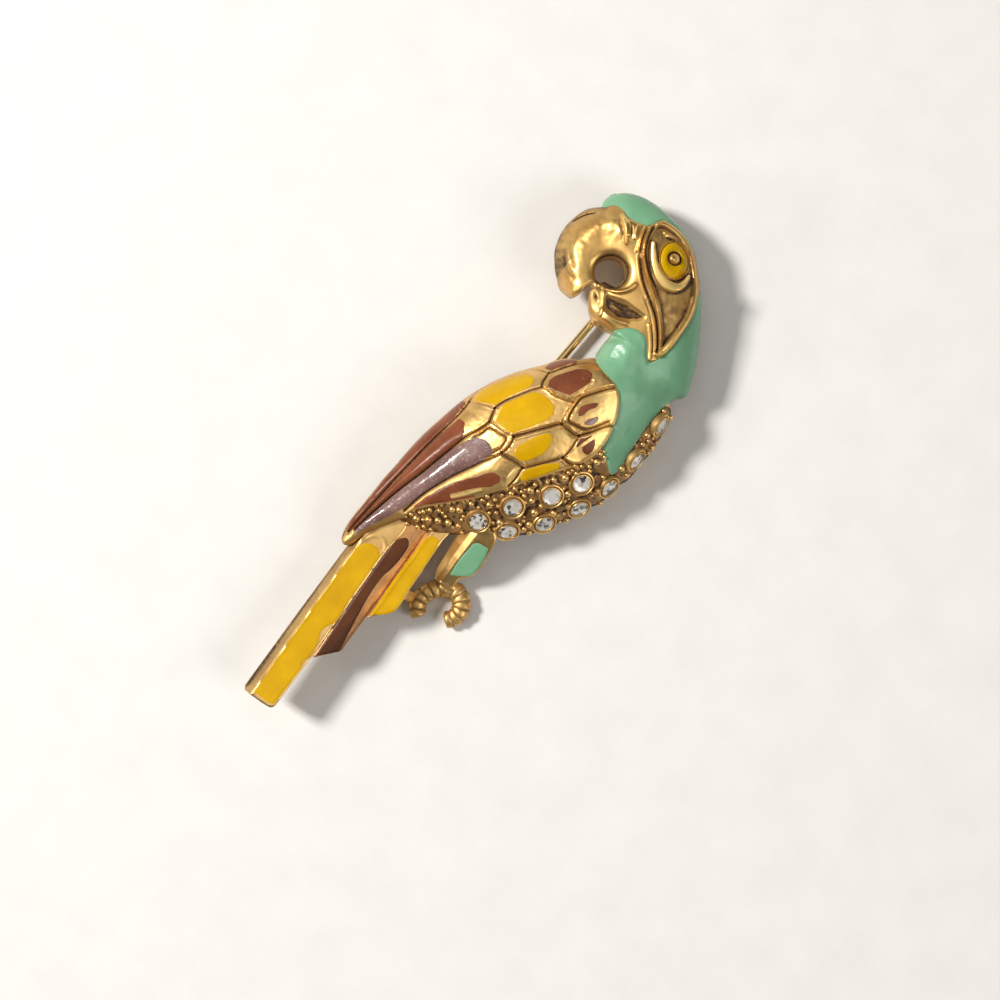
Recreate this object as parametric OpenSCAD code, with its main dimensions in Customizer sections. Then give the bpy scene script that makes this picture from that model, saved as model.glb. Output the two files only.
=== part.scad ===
// Parrot brooch: one hollow-backed casting with enamel fills, set stones and a hinged pin.
// It lies face up. +Y runs from tail to head, +X to the right seen from the front, +Z out
// of the front, and the origin is on the floor under the middle of the box.

/* [Size] */
// length over the crown and the long tail feather, mm
brooch_l = 70.1; // [56:0.5:90]
// width over the beak and the belly, mm
brooch_w = 22.7; // [18:0.2:30]
// depth from the floor to the top of the wing, mm
brooch_d = 11; // [9.5:0.5:14]

/* [Casting] */
// wall left over the hollow back, mm
wall_t = 1.5; // [1.2:0.1:2]
// height of the wing over the body, mm
wing_lift = 0.6; // [0.4:0.1:1]
// thickness of a tail feather, mm
feather_t = 1.7; // [1.2:0.1:2.2]
// radius of a claw's joint, mm
claw_r = 0.82; // [0.6:0.02:1]
// radius of the beads between the stones, mm
bead_r = 0.42; // [0.3:0.02:0.5]
// radius of the hole through the beak, mm
beak_hole_r = 1.75; // [1.2:0.05:2]

/* [Enamel] */
// thickness of the enamel, mm
enamel_t = 0.45; // [0.3:0.05:0.6]
// sink of the enamel under the gold edges, mm
enamel_sink = 0.08; // [0:0.02:0.15]
// gap between the enamel and its cell, mm
enamel_gap = 0.03; // [0.02:0.01:0.05]

/* [Stones] */
// radius of a stone at its girdle, mm
stone_r = 1.02; // [0.8:0.02:1.2]
// metal round a stone, mm
bezel_t = 0.33; // [0.2:0.01:0.45]
// gap between a stone and its cup, mm
stone_gap = 0.03; // [0.02:0.01:0.05]

/* [Pin] */
// radius of the stem, mm
stem_r = 0.45; // [0.35:0.01:0.5]
// height of the stem's centre line over the floor, mm
stem_z = 1.4; // [1.3:0.05:1.7]
// length of the stem past the catch, mm
stem_past = 2; // [1:0.25:4]
// length of the plain wire given up to the point before the catch, mm
point_l = 4; // [2:0.25:6]
// radius of the rivet, mm
rivet_r = 0.32; // [0.25:0.01:0.35]
// running gap round the rivet, mm
rivet_gap = 0.03; // [0.02:0.01:0.05]
// gap between the stem's eye and each ear, mm
ear_gap = 0.06; // [0.04:0.01:0.1]
// thickness of an ear, mm
ear_t = 0.55; // [0.4:0.05:0.8]
// radius of the catch's bore, mm
catch_bore_r = 0.62; // [0.55:0.01:0.8]
// width of the catch along the stem, mm
catch_w = 1.6; // [1.2:0.1:2.4]
// gap between a soldered foot and its pad, mm
foot_gap = 0.02; // [0.01:0.01:0.05]

/* [Hidden] */

// The plan tables are on a grid of 70.1 steps to the length and 22.7 to the width, and
// heights are on a grid of 11 steps to the depth.
gx = brooch_w / 22.7;
gy = brooch_l / 70.1;
gz = brooch_d / 11;
eps = 0.01;
gold = [0.84, 0.66, 0.34];
green = [0.47, 0.7, 0.56];
yellow = [0.87, 0.7, 0.06];
brown = [0.44, 0.2, 0.12];

// The bird from crown to wing tip, a row for each section across it.
// columns: y, left x, right x, ridge x, ridge z, left edge z, right edge z, left foot z,
// right foot z
bird = [
    [35.05, -5.3, -3.7, -4.5, 4.9, 4.5, 4.5, 3.2, 3.2],
    [34.7, -7.0, -1.0, -3.6, 6.2, 4.5, 4.5, 3.2, 3.2],
    [33.8, -8.6, 1.3, -2.8, 7.4, 4.5, 4.5, 3.2, 3.2],
    [32.2, -9.6, 3.2, -1.8, 8.4, 4.5, 4.5, 3.2, 3.2],
    [31.0, -9.4, 4.3, -1.0, 8.8, 4.5, 4.5, 3.2, 3.2],
    [30.0, -10.6, 5.3, -0.6, 9.0, 4.5, 4.5, 3.2, 3.2],
    [29.0, -11.0, 6.1, -0.2, 9.1, 4.5, 4.5, 3.2, 3.2],
    [27.0, -11.35, 7.5, 0.4, 9.2, 4.5, 4.5, 3.2, 3.2],
    [25.2, -11.0, 8.5, 1.2, 9.2, 4.5, 4.5, 3.2, 3.2],
    [23.4, -10.0, 9.45, 2.1, 9.1, 4.5, 4.5, 3.2, 3.2],
    [22.0, -8.6, 10.05, 2.6, 9.0, 4.5, 4.5, 3.2, 3.2],
    [21.1, -7.2, 10.45, 2.9, 8.9, 4.5, 4.5, 3.2, 3.2],
    [20.6, -3.2, 10.6, 3.1, 8.9, 4.5, 4.4, 3.2, 3.2],
    [20.3, -0.1, 10.65, 3.3, 8.9, 4.5, 4.3, 3.2, 3.1],
    [19.2, -0.2, 10.0, 3.5, 9.0, 4.5, 4.2, 3.2, 2.6],
    [18.1, -0.1, 10.1, 3.5, 9.2, 4.5, 4.1, 3.2, 1.8],
    [17.0, -0.5, 10.85, 3.2, 9.5, 4.5, 4.0, 3.2, 1.0],
    [16.2, -1.3, 11.05, 3.0, 9.7, 4.5, 3.9, 3.2, 0.5],
    [15.2, -2.8, 11.2, 2.7, 9.9, 4.5, 3.8, 3.2, 0.1],
    [13.5, -4.0, 11.35, 2.2, 10.1, 4.5, 3.7, 3.2, 0],
    [11.4, -5.7, 11.25, 1.6, 10.3, 4.5, 3.7, 3.2, 0],
    [9.0, -7.2, 11.15, 1.0, 10.4, 4.5, 3.7, 3.2, 0],
    [7.8, -7.8, 10.6, 0.7, 10.4, 4.5, 3.7, 3.2, 0],
    [5.8, -8.6, 10.35, 0.2, 10.35, 4.5, 3.7, 3.2, 0],
    [3.8, -9.2, 9.5, -0.5, 10.2, 4.5, 3.8, 3.2, 0.3],
    [0.5, -9.9, 7.8, -1.5, 9.7, 4.5, 4.0, 3.2, 1.6],
    [-1.5, -10.2, 6.6, -2.3, 9.3, 4.6, 4.2, 3.2, 2.3],
    [-3.5, -10.4, 4.8, -3.3, 8.8, 4.7, 4.4, 3.2, 2.8],
    [-5.5, -10.5, 2.8, -4.3, 8.2, 4.8, 4.5, 3.2, 3.1],
    [-7.0, -10.65, 0.1, -5.3, 7.6, 4.9, 4.7, 3.2, 3.2],
    [-9.0, -10.7, -3.2, -6.8, 6.9, 5.0, 4.9, 3.3, 3.3],
    [-9.8, -10.75, -5.9, -8.2, 6.6, 5.0, 5.0, 3.4, 3.4],
    [-12.5, -10.85, -8.1, -9.4, 6.2, 5.0, 5.0, 3.7, 3.7],
    [-15.7, -10.2, -9.4, -9.8, 5.4, 5.0, 5.0, 4.1, 4.1]
];

// The hollow back. columns: y, left x, right x
hollow = [
    [33.2, -6.6, -1.4], [31.6, -7.8, 1.6], [29.4, -7.4, 4.0], [28.7, -1.6, 4.6],
    [25.0, -1.2, 6.9], [22.5, 1.8, 8.2], [20.8, 2.3, 8.6], [18.0, 1.9, 7.9],
    [16.4, 1.7, 7.7], [15.0, -0.6, 7.7], [12.0, -3.3, 7.8], [9.0, -5.3, 7.4],
    [5.8, -6.8, 6.0], [2.0, -7.9, 3.9], [-1.5, -8.5, 1.6], [-4.5, -8.8, -1.2],
    [-6.4, -8.9, -3.0], [-8.2, -9.0, -5.4]
];

// The wing. columns: y, left x, right x
wing = [
    [16.9, -0.5, 0.5], [16.3, -1.1, 3.2], [15.2, -2.7, 4.7], [14.0, -3.6, 5.5],
    [12.3, -4.9, 6.2], [10.2, -6.4, 6.5], [8.2, -7.5, 6.3], [6.3, -8.3, 5.3],
    [4.3, -8.9, 3.9], [1.9, -9.5, 2.2], [-0.2, -9.9, 0.8], [-2.7, -10.2, -1.0],
    [-5.9, -10.4, -4.0], [-8.0, -10.5, -5.8], [-10.3, -10.6, -6.8], [-12.0, -10.7, -7.8],
    [-14.0, -10.6, -8.8], [-15.6, -10.1, -9.5]
];

// Strips across an enamel field. columns: first x, first y, second x, second y
head_field = [
    [-9.55, 31.7, -8.6, 31.3], [-9.6, 32.5, -7.6, 31.9], [-9.0, 33.5, -6.6, 31.6],
    [-7.8, 34.35, -5.6, 31.6], [-6.4, 34.9, -4.6, 31.9], [-5.0, 35.1, -3.8, 32.6],
    [-3.6, 35.05, -3.1, 33.9], [-2.0, 34.9, -1.9, 34.25], [-0.6, 34.6, -0.8, 34.15],
    [0.8, 34.1, 0.5, 33.75], [2.2, 33.15, 1.8, 32.85], [3.6, 31.75, 3.2, 31.5],
    [5.0, 30.35, 4.5, 30.1], [6.1, 29.0, 5.35, 28.7], [7.0, 27.7, 5.95, 27.3],
    [8.0, 26.1, 6.3, 25.7], [9.0, 24.4, 6.35, 23.9], [9.9, 22.4, 6.1, 22.2],
    [10.5, 20.9, 5.6, 20.7], [10.5, 20.0, 4.2, 20.9], [10.0, 19.2, 2.7, 22.1],
    [9.6, 18.4, 1.1, 21.6], [9.3, 17.4, 0.1, 20.2], [9.1, 16.3, 0.05, 18.0],
    [9.0, 15.1, 1.7, 16.8], [8.9, 13.6, 4.0, 16.0],
    [8.9, 12.0, 5.6, 14.7], [9.0, 10.4, 6.9, 11.9], [9.0, 8.9, 7.9, 9.5]
];
leg_field = [
    [1.9, -6.6, 3.2, -6.5], [1.55, -7.4, 3.4, -7.4], [1.5, -9.0, 3.5, -9.0],
    [1.5, -10.4, 3.2, -10.3], [1.5, -11.4, 2.2, -11.1]
];
wing_field = [
    [[-1.5, 15.75, -0.9, 15.3], [-2.4, 15.0, -1.6, 14.5], [-3.4, 13.8, -2.8, 13.1]],
    [[-2.2, 11.5, -0.2, 11.9], [-2.45, 12.4, 0.75, 12.6], [-2.0, 13.6, 1.1, 13.7],
        [-1.3, 14.6, 1.15, 14.8], [-0.4, 15.3, 0.8, 15.4]],
    [[1.9, 11.0, 2.7, 11.0], [2.3, 12.2, 3.3, 12.1], [3.0, 13.4, 3.7, 13.2]],
    [[3.9, 8.3, 4.7, 8.3], [4.3, 9.2, 5.1, 9.0], [4.7, 10.2, 5.3, 10.0]],
    [[-7.8, 5.6, -6.4, 6.0], [-7.8, 6.8, -5.6, 6.6], [-7.1, 8.2, -4.9, 7.8],
        [-6.3, 9.5, -4.3, 9.1], [-5.4, 10.6, -3.85, 10.2], [-4.7, 11.3, -3.9, 11.0]],
    [[-4.2, 4.75, -2.5, 4.75], [-4.9, 5.8, -1.6, 5.6], [-4.75, 7.2, -0.8, 7.1],
        [-4.2, 8.6, -0.05, 8.7], [-3.5, 9.8, 0.15, 9.7], [-2.2, 10.5, -0.5, 10.35]],
    [[-0.6, 3.4, 0.3, 3.4], [-0.95, 4.0, 1.0, 4.0], [-0.55, 5.0, 1.6, 5.0],
        [0.25, 6.3, 2.1, 6.4], [1.1, 7.5, 1.8, 7.6]],
    [[1.7, 1.8, 2.2, 1.7], [1.4, 2.7, 2.85, 2.75], [1.95, 3.9, 3.5, 3.8],
        [2.65, 4.95, 4.05, 4.8], [3.3, 5.5, 4.15, 5.45]]
];
flight_field = [
    [[-8.9, 3.8, -8.3, 3.8], [-9.35, 0.5, -8.65, 0.5], [-9.8, -3.5, -9.15, -3.5],
        [-10.1, -7.5, -9.6, -7.5], [-10.3, -11.0, -9.95, -11.0]],
    [[-7.5, 3.1, -5.9, 3.1], [-8.1, 0.0, -6.5, 0.0], [-8.65, -3.0, -7.35, -3.0],
        [-9.1, -6.0, -8.15, -6.0], [-9.5, -9.0, -8.85, -9.0], [-9.9, -11.5, -9.45, -11.5]],
    [[-4.6, 2.9, -3.3, 2.9], [-5.3, 2.0, -2.9, 2.0], [-5.85, 0.3, -3.75, 0.3],
        [-6.5, -2.0, -4.75, -2.0], [-7.2, -4.5, -5.75, -4.5], [-7.8, -7.0, -6.6, -7.0],
        [-8.4, -9.5, -7.6, -9.5], [-9.05, -12.0, -8.6, -12.0]],
    [[-2.5, 0.6, -0.5, 0.7], [-3.3, -0.7, -0.8, -1.0], [-4.1, -2.3, -2.0, -2.8],
        [-4.9, -4.1, -3.3, -4.4], [-5.6, -5.7, -4.6, -5.9], [-6.1, -6.9, -5.6, -7.1]]
];
tail_field = [
    [[-7.6, -13.9, -6.5, -13.9], [-8.4, -14.8, -6.0, -14.8], [-8.4, -18.0, -5.95, -18.0],
        [-8.1, -26.0, -5.75, -26.0], [-7.9, -34.4, -5.5, -34.3]],
    [[-4.9, -10.9, -4.2, -10.9], [-5.4, -11.9, -4.0, -11.9], [-5.4, -15.0, -4.25, -15.0],
        [-5.25, -21.0, -4.05, -21.0], [-4.85, -26.6, -3.6, -25.4]],
    [[-2.8, -9.6, -1.7, -9.6], [-3.05, -10.6, -1.5, -10.5], [-2.95, -14.5, -1.35, -14.5],
        [-2.7, -19.9, -1.25, -18.4]]
];

// The tail feathers, long, middle and short. columns: first x, first y, second x, second y
feathers = [
    [[-9.6, -9.5, -5.5, -9.5], [-9.4, -14.0, -5.5, -14.0], [-9.3, -25.0, -5.25, -25.0],
        [-9.2, -35.05, -5.15, -34.6]],
    [[-5.8, -7.0, -3.2, -7.0], [-5.7, -12.0, -3.3, -12.0], [-5.4, -20.0, -3.1, -19.0],
        [-5.3, -27.7, -2.95, -25.2]],
    [[-3.6, -6.0, -1.3, -6.0], [-3.5, -9.0, -1.3, -9.0], [-3.2, -14.0, -1.05, -14.0],
        [-3.15, -20.6, -0.9, -18.3]]
];
// Height of a feather's top face. columns: y, z
feather_z = [[-35.05, 6.3], [-25, 5.9], [-14, 5.3], [-6, 5.1]];
feather_step = [0.15, 0, -0.15];

// The leg. columns: y, left x, right x, top z, foot z
leg = [
    [-4.6, -0.8, 3.2, 6.2, 3.6], [-6.4, -0.6, 3.5, 5.7, 3.2], [-8.0, -0.4, 3.7, 5.1, 2.6],
    [-9.4, -0.2, 3.85, 4.4, 2.0], [-11.0, -0.05, 3.5, 3.4, 1.2], [-12.6, 0.5, 3.2, 2.3, 0.4]
];

// The claws, from the ankle to the tip. columns: x, y, radius as a share of claw_r
claws = [
    [[1.7, -12.5, 0.9], [0.8, -13.7, 1.0], [0.72, -15.3, 1.0], [1.1, -16.7, 0.9],
        [1.75, -17.45, 0.55]],
    [[2.9, -12.6, 0.9], [4.2, -12.95, 0.95], [5.2, -14.0, 1.0], [5.15, -15.2, 0.95],
        [4.5, -16.1, 0.8], [3.8, -16.5, 0.5]]
];

// The raised eye rim and the lid under the eye.
// columns: first x, first y, second x, second y
rim_left = [
    [-3.2, 33.5, -2.8, 33.3], [-3.75, 31.4, -3.3, 31.4], [-3.05, 29.3, -2.65, 29.5],
    [-1.0, 27.1, -0.75, 27.45], [1.0, 25.8, 1.25, 26.1], [3.0, 23.9, 3.3, 24.2],
    [5.35, 20.9, 5.6, 21.3]
];
rim_right = [
    [5.35, 20.9, 5.1, 21.3], [6.1, 23.3, 5.6, 23.4], [6.0, 26.2, 5.55, 26.1],
    [5.2, 29.0, 4.8, 28.8], [3.4, 31.6, 3.1, 31.3], [0.9, 33.6, 0.7, 33.2],
    [-1.5, 34.0, -1.4, 33.6], [-3.0, 33.7, -2.7, 33.4]
];
rim_lid = [
    [-3.0, 31.3, -2.4, 31.3], [-2.3, 29.9, -1.6, 30.1], [-1.0, 28.6, -0.5, 29.2],
    [0.7, 27.9, 0.9, 28.7], [2.3, 28.1, 2.2, 28.9], [3.6, 29.4, 3.0, 29.6]
];
rim_brow = [
    [-7.0, 31.3, -6.4, 31.6], [-5.7, 30.2, -5.2, 30.7], [-4.7, 29.2, -4.3, 29.5]
];

// The sunk cheek and the dark hollow of the mouth.
// columns: first x, first y, second x, second y
cheek = [
    [-0.1, 27.4, 3.9, 29.4], [1.6, 26.2, 5.2, 27.6], [3.1, 24.9, 5.4, 25.4],
    [4.5, 23.1, 5.45, 23.3]
];
mouth = [
    [-2.9, 23.6, -2.4, 22.4], [-1.0, 23.95, -0.8, 22.2], [0.4, 23.8, 0.4, 22.4],
    [1.7, 23.8, 1.2, 23.0]
];

// Stones. columns: x, y
stones = [
    [0.5, -4.7], [2.6, -1.2], [5.3, 2.3], [7.1, 5.4], [3.7, -3.65],
    [6.45, -0.55], [8.5, 3.1], [9.7, 6.9], [10.35, 11.1], [10.2, 15.7]
];
// Beads between the stones. columns: x, y
beads = [
    [7.0, 8.3], [8.6, 5.9], [6.5, 3.6], [5.3, 4.8], [3.2, 1.6], [4.0, 0.6], [7.2, 2.5],
    [4.7, -0.3], [5.0, -1.7], [0.6, -2.4], [2.2, -3.3], [-1.8, -4.9], [-0.6, -6.2],
    [2.2, -5.1], [9.4, 13.4], [9.3, 9.4], [8.0, 1.2], [-5.1, -8.4], [-3.9, -7.7],
    [-2.9, -7.2]
];

hinge_p = [-2.02 * gx, 30.5 * gy];
catch_p = [-4.2 * gx, -6 * gy];
span_l = norm(catch_p - hinge_p);
stem_l = span_l + stem_past;
pin_turn = atan2(catch_p[0] - hinge_p[0], hinge_p[1] - catch_p[1]);
pad_z = 3.2 * gz;
eye_r = stem_r + 0.5;
slot_r = stem_r + 0.07;
catch_r = norm([stem_z, slot_r]);
hole_p = [-4.3 * gx, 25.8 * gy];
iris_p = [0.6 * gx, 30.95 * gy];
iris_r = 1.9;
pupil_r = 0.62;
stone_h = 0.3;
stone_low = 0.95;
cup_h = 0.25;

function plan(row) = [row[0] * gx, row[1] * gy, row[2] * gx, row[3] * gy];
function across(row) = [row[1] * gx, row[0] * gy, row[2] * gx, row[0] * gy];
function column(c, k) = [for (i = [len(bird) - 1:-1:0]) [bird[i][0] * gy, bird[i][c] * k]];
bird_left = column(1, gx);
bird_right = column(2, gx);
ridge_x = column(3, gx);
ridge_z = column(4, gz);
edge_left = column(5, gz);
edge_right = column(6, gz);
foot_left = column(7, gz);
foot_right = column(8, gz);

// The dome over a section: 0 at the edge, 1 on the ridge, steeper the larger p is.
function dome(s, p) = pow(1 - pow(1 - min(max(s, 0), 1), p), 1 / p);
function top_z(q) = let (
    x = q[0],
    y = q[1],
    m = lookup(y, ridge_x),
    l = lookup(y, bird_left),
    r = lookup(y, bird_right),
    z = lookup(y, ridge_z),
    a = lookup(y, edge_left),
    b = lookup(y, edge_right)
) x < m ? a + (z - a) * dome((x - l) / (m - l), 2.1) : b + (z - b) * dome((r - x) / (r - m), 1.55);
function foot_z(q) = let (
    l = lookup(q[1], bird_left),
    r = lookup(q[1], bird_right),
    s = min(max((q[0] - l) / (r - l), 0), 1)
) lookup(q[1], foot_left) * (1 - s) + lookup(q[1], foot_right) * s;

// A table's rows with k - 1 more between each two, on a smooth curve.
function bend(a, b, c, d, t) = 0.5 * (2 * b + (c - a) * t + (2 * a - 5 * b + 4 * c - d) * t * t
    + (3 * b - a - 3 * c + d) * t * t * t);
function finer(rows, k) = let (n = len(rows)) concat([
    for (i = [0:n - 2]) for (j = [0:k - 1])
        bend(rows[max(i - 1, 0)], rows[i], rows[i + 1], rows[min(i + 2, n - 1)], j / k)
], [rows[n - 1]]);

// A strip's rows with each edge drawn in by g, and by the share `first` of it at the first.
function middle(r) = [r[0] + r[2], r[1] + r[3]] / 2;
function unit(v) = v / max(norm(v), 0.0001);
function drawn_in(rows, g, first = 1) = let (n = len(rows)) [
    for (i = [0:n - 1]) let (
        a = [rows[i][0], rows[i][1]],
        b = [rows[i][2], rows[i][3]],
        d = unit(b - a) * g,
        e = i == 0 ? unit(middle(rows[1]) - middle(rows[0])) * g
            : i == n - 1 ? unit(middle(rows[n - 2]) - middle(rows[n - 1])) * g : [0, 0],
        p = a + d * first + e,
        q = b - d + e
    ) [p[0], p[1], q[0], q[1]]
];

// A solid over a strip between two surfaces, lo and hi, run out past its first edge by lip.
module strip(rows, columns, lo, hi, skew = 1, lip = 0) {
    n = len(rows);
    extra = lip > 0 ? 1 : 0;
    cols = columns + extra;
    m = cols + 1;
    plan_points = [
        for (r = rows) for (i = [-extra:columns]) let (
            w = norm([r[2] - r[0], r[3] - r[1]]),
            t = i < 0 ? -lip / w : pow(i / columns, skew)
        ) [r[0] + (r[2] - r[0]) * t, r[1] + (r[3] - r[1]) * t]
    ];
    k = n * m;
    points = concat([for (q = plan_points) [q[0], q[1], hi(q)]],
        [for (q = plan_points) [q[0], q[1], lo(q)]]);
    faces = concat(
        [for (r = [0:n - 2]) for (c = [0:cols - 1]) let (a = r * m + c) each
            [[a, a + 1, a + m + 1], [a, a + m + 1, a + m],
            [k + a + m + 1, k + a + 1, k + a], [k + a + m, k + a + m + 1, k + a]]],
        [for (c = [0:cols - 1]) let (a = c, b = (n - 1) * m + c) each
            [[a + 1, a, k + a], [a + 1, k + a, k + a + 1],
            [b, b + 1, k + b + 1], [b, k + b + 1, k + b]]],
        [for (r = [0:n - 2]) let (a = r * m, b = r * m + cols) each
            [[a, a + m, k + a + m], [a, k + a + m, k + a],
            [b + m, b, k + b], [b + m, k + b, k + b + m]]]
    );
    d = middle(rows[1]) - middle(rows[0]);
    w = [rows[0][2] - rows[0][0], rows[0][3] - rows[0][1]];
    over = w[0] * d[1] - w[1] * d[0] > 0;
    polyhedron(points, over ? [for (f = faces) [f[2], f[1], f[0]]] : faces);
}

// The surface under each kind of enamel.
wing_z = function (q) top_z(q) + wing_lift;
body_z = function (q) top_z(q);
function leg_z(y, c) = lookup(y / gy, [for (i = [len(leg) - 1:-1:0]) [leg[i][0], leg[i][c]]]) * gz;

function rib_z(q, k) = (lookup(q[1] / gy, feather_z) + feather_step[k]) * gz;

module cell(rows, face, cols, skew = 1, lip = 0) {
    strip(rows, cols, function (q) face(q) - enamel_t, function (q) face(q) + 3, skew, lip);
}

module fill(rows, face, cols, skew = 1, first = 1) {
    strip(drawn_in(rows, enamel_gap, first), cols,
        function (q) face(q) - enamel_t + enamel_gap, function (q) face(q) - enamel_sink, skew);
}

module raised(rows, up) {
    strip([for (r = rows) plan(r)], 1, function (q) top_z(q) - 0.6,
        function (q) top_z(q) + up);
}

// Children stand on the bird's surface at x, y, square to it.
module on_bird(x, y, soft = 0.5) {
    p = [x * gx, y * gy];
    s = [top_z(p + [soft, 0]) - top_z(p - [soft, 0]), top_z(p + [0, soft]) - top_z(p - [0, soft])]
        / (2 * soft);
    translate([p[0], p[1], top_z(p)])
        rotate([0, atan(norm(s)), atan2(-s[1], -s[0])])
            children();
}

module on_pin() {
    translate([hinge_p[0], hinge_p[1], stem_z])
        rotate([0, 0, pin_turn])
            children();
}

// Stone k stands a little in from its mark where the body falls away beside it.
module at_stone(k) {
    on_bird(stones[k][0], stones[k][1], 0.8)
        children();
}

module cut_stone(grow) {
    low = stone_low + grow;
    r = stone_r + grow;
    translate([0, 0, cup_h - 0.1])
        union() {
            translate([0, 0, 0.1])
                cylinder(h = stone_h + grow, r1 = r, r2 = r * 0.56, $fn = 8);
            translate([0, 0, -eps])
                cylinder(h = 0.1 + 2 * eps, r = r, $fn = 8);
            translate([0, 0, -low])
                cylinder(h = low, r1 = 0.15, r2 = r, $fn = 8);
        }
}

module shell() {
    difference() {
        strip([for (r = bird) across(r)], 12, function (q) foot_z(q), body_z);
        strip([for (r = hollow) across(r)], 6, function (q) -2,
            function (q) top_z(q) - wall_t);
        strip([for (r = cheek) plan(r)], 3, function (q) top_z(q) - 0.4,
            function (q) top_z(q) + 1);
    }
}

// A solid block from the pad's plane up into the wall, round the point p.
module pad(p, half_w, half_l) {
    rows = [for (s = [1, -1]) [p[0] - half_w, p[1] + s * half_l, p[0] + half_w,
        p[1] + s * half_l]];
    strip(rows, 3, function (q) pad_z, function (q) top_z(q) - wall_t / 2);
}

module pads() {
    translate([hole_p[0], hole_p[1], pad_z])
        cylinder(h = top_z(hole_p) - pad_z - wall_t / 2, r = beak_hole_r + 0.9, $fn = 24);
    pad(hinge_p, 2.2, 2);
    pad(catch_p, 2, 1.8);
}

module wing_plate() {
    strip([for (r = wing) across(r)], 8, function (q) top_z(q) - 0.7, wing_z);
}

module feather(k) {
    strip([for (r = feathers[k]) plan(r)], 3, function (q) rib_z(q, k) - feather_t,
        function (q) rib_z(q, k));
}

module leg_bar() {
    rows = [for (r = leg) across(r)];
    strip(rows, 4, function (q) leg_z(q[1], 4), function (q) leg_z(q[1], 3));
}

module claw(rows) {
    for (i = [0:len(rows) - 2])
        hull() {
            claw_knob(rows[i]);
            claw_knob(rows[i + 1]);
        }
}

module claw_knob(row) {
    r = claw_r * row[2];
    translate([row[0] * gx, row[1] * gy, claw_r * 1.05])
        sphere(r = r, $fn = 10);
}

// The tab from the left claw up to the short feather.
module tab() {
    hull() {
        translate([0.1 * gx, -16.7 * gy, 0.5])
            cube([0.5, 1.1, 0.8]);
        translate([-1.5 * gx, -16.7 * gy, rib_z([0, -16 * gy], 2) - feather_t + 0.1])
            cube([0.7, 1.1, feather_t - 0.4]);
    }
}

module cups() {
    for (k = [0:len(stones) - 1])
        at_stone(k)
            translate([0, 0, -0.8])
                cylinder(h = 0.8 + cup_h, r = stone_r + bezel_t, $fn = 16);
    for (b = beads)
        on_bird(b[0], b[1])
            translate([0, 0, 0.12])
                sphere(r = bead_r, $fn = 10);
}

// The slot between the two halves of the beak.
module beak_slot() {
    translate([0, 0, -1])
        linear_extrude(height = 2 * brooch_d)
            polygon([for (p = [[-6.2, 21.0], [-5.65, 21.9], [-5.45, 23.2], [-4.75, 23.35],
                [-4.6, 22.7], [-4.1, 21.6], [-3.4, 20.9], [-2.9, 20.4], [-4.5, 20.0],
                [-6.5, 20.3]]) [p[0] * gx, p[1] * gy]]);
}

module casting() {
    color(gold)
        difference() {
            union() {
                shell();
                pads();
                wing_plate();
                for (k = [0:2])
                    feather(k);
                leg_bar();
                claw(claws[0]);
                claw(claws[1]);
                tab();
                cups();
                raised(rim_left, 0.35);
                raised(rim_right, 0.35);
                raised(rim_lid, 0.35);
                raised(rim_brow, 0.3);
            }
            cell(head_rows, body_z, 5, 1.4, 0.4);
            cell(leg_rows, leg_face, 3);
            for (f = wing_field)
                cell([for (r = finer(f, 2)) plan(r)], wing_z, 3);
            for (f = flight_field)
                cell([for (r = f) plan(r)], wing_z, 2);
            for (k = [0:2])
                cell([for (r = tail_field[k]) plan(r)], function (q) rib_z(q, k), 2);
            strip([for (r = mouth) plan(r)], 2, function (q) top_z(q) - 1.1,
                function (q) top_z(q) + 1);
            on_bird(iris_p[0] / gx, iris_p[1] / gy)
                difference() {
                    translate([0, 0, -enamel_t])
                        cylinder(h = 2, r = iris_r, $fn = 32);
                    translate([0, 0, -1])
                        cylinder(h = 1.1, r = pupil_r, $fn = 24);
                }
            for (k = [0:len(stones) - 1])
                at_stone(k) {
                    cut_stone(stone_gap);
                    translate([0, 0, cup_h])
                        cylinder(h = 2, r = stone_r + stone_gap, $fn = 8);
                }
            translate([hole_p[0], hole_p[1], -1])
                cylinder(h = 2 * brooch_d, r = beak_hole_r, $fn = 32);
            beak_slot();
            translate([-brooch_w, -brooch_l, -10])
                cube([2 * brooch_w, 2 * brooch_l, 10]);
        }
}

head_rows = [for (r = head_field) plan(r)];
leg_rows = [for (r = leg_field) plan(r)];
leg_face = function (q) leg_z(q[1], 3);

module green_head_enamel() {
    color(green)
        fill(head_rows, body_z, 5, 1.4, 0);
}

module green_leg_enamel() {
    color(green)
        fill(leg_rows, leg_face, 3);
}

module eye_enamel() {
    color(yellow)
        on_bird(iris_p[0] / gx, iris_p[1] / gy)
            translate([0, 0, enamel_gap - enamel_t])
                difference() {
                    cylinder(h = enamel_t - enamel_sink, r = iris_r - enamel_gap, $fn = 48);
                    translate([0, 0, -1])
                        cylinder(h = 3, r = pupil_r + enamel_gap, $fn = 48);
                }
}

module wing_enamel(k) {
    color(k < 4 ? brown : yellow)
        fill([for (r = finer(wing_field[k], 2)) plan(r)], wing_z, 3);
}

module flight_enamel(k) {
    color(brown)
        fill([for (r = flight_field[k]) plan(r)], wing_z, 2);
}

module tail_enamel(k) {
    color(k == 1 ? brown : yellow)
        fill([for (r = tail_field[k]) plan(r)], function (q) rib_z(q, k), 2);
}

module stone(k) {
    color([0.9, 0.93, 0.95])
        at_stone(k)
            cut_stone(0);
}

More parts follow.
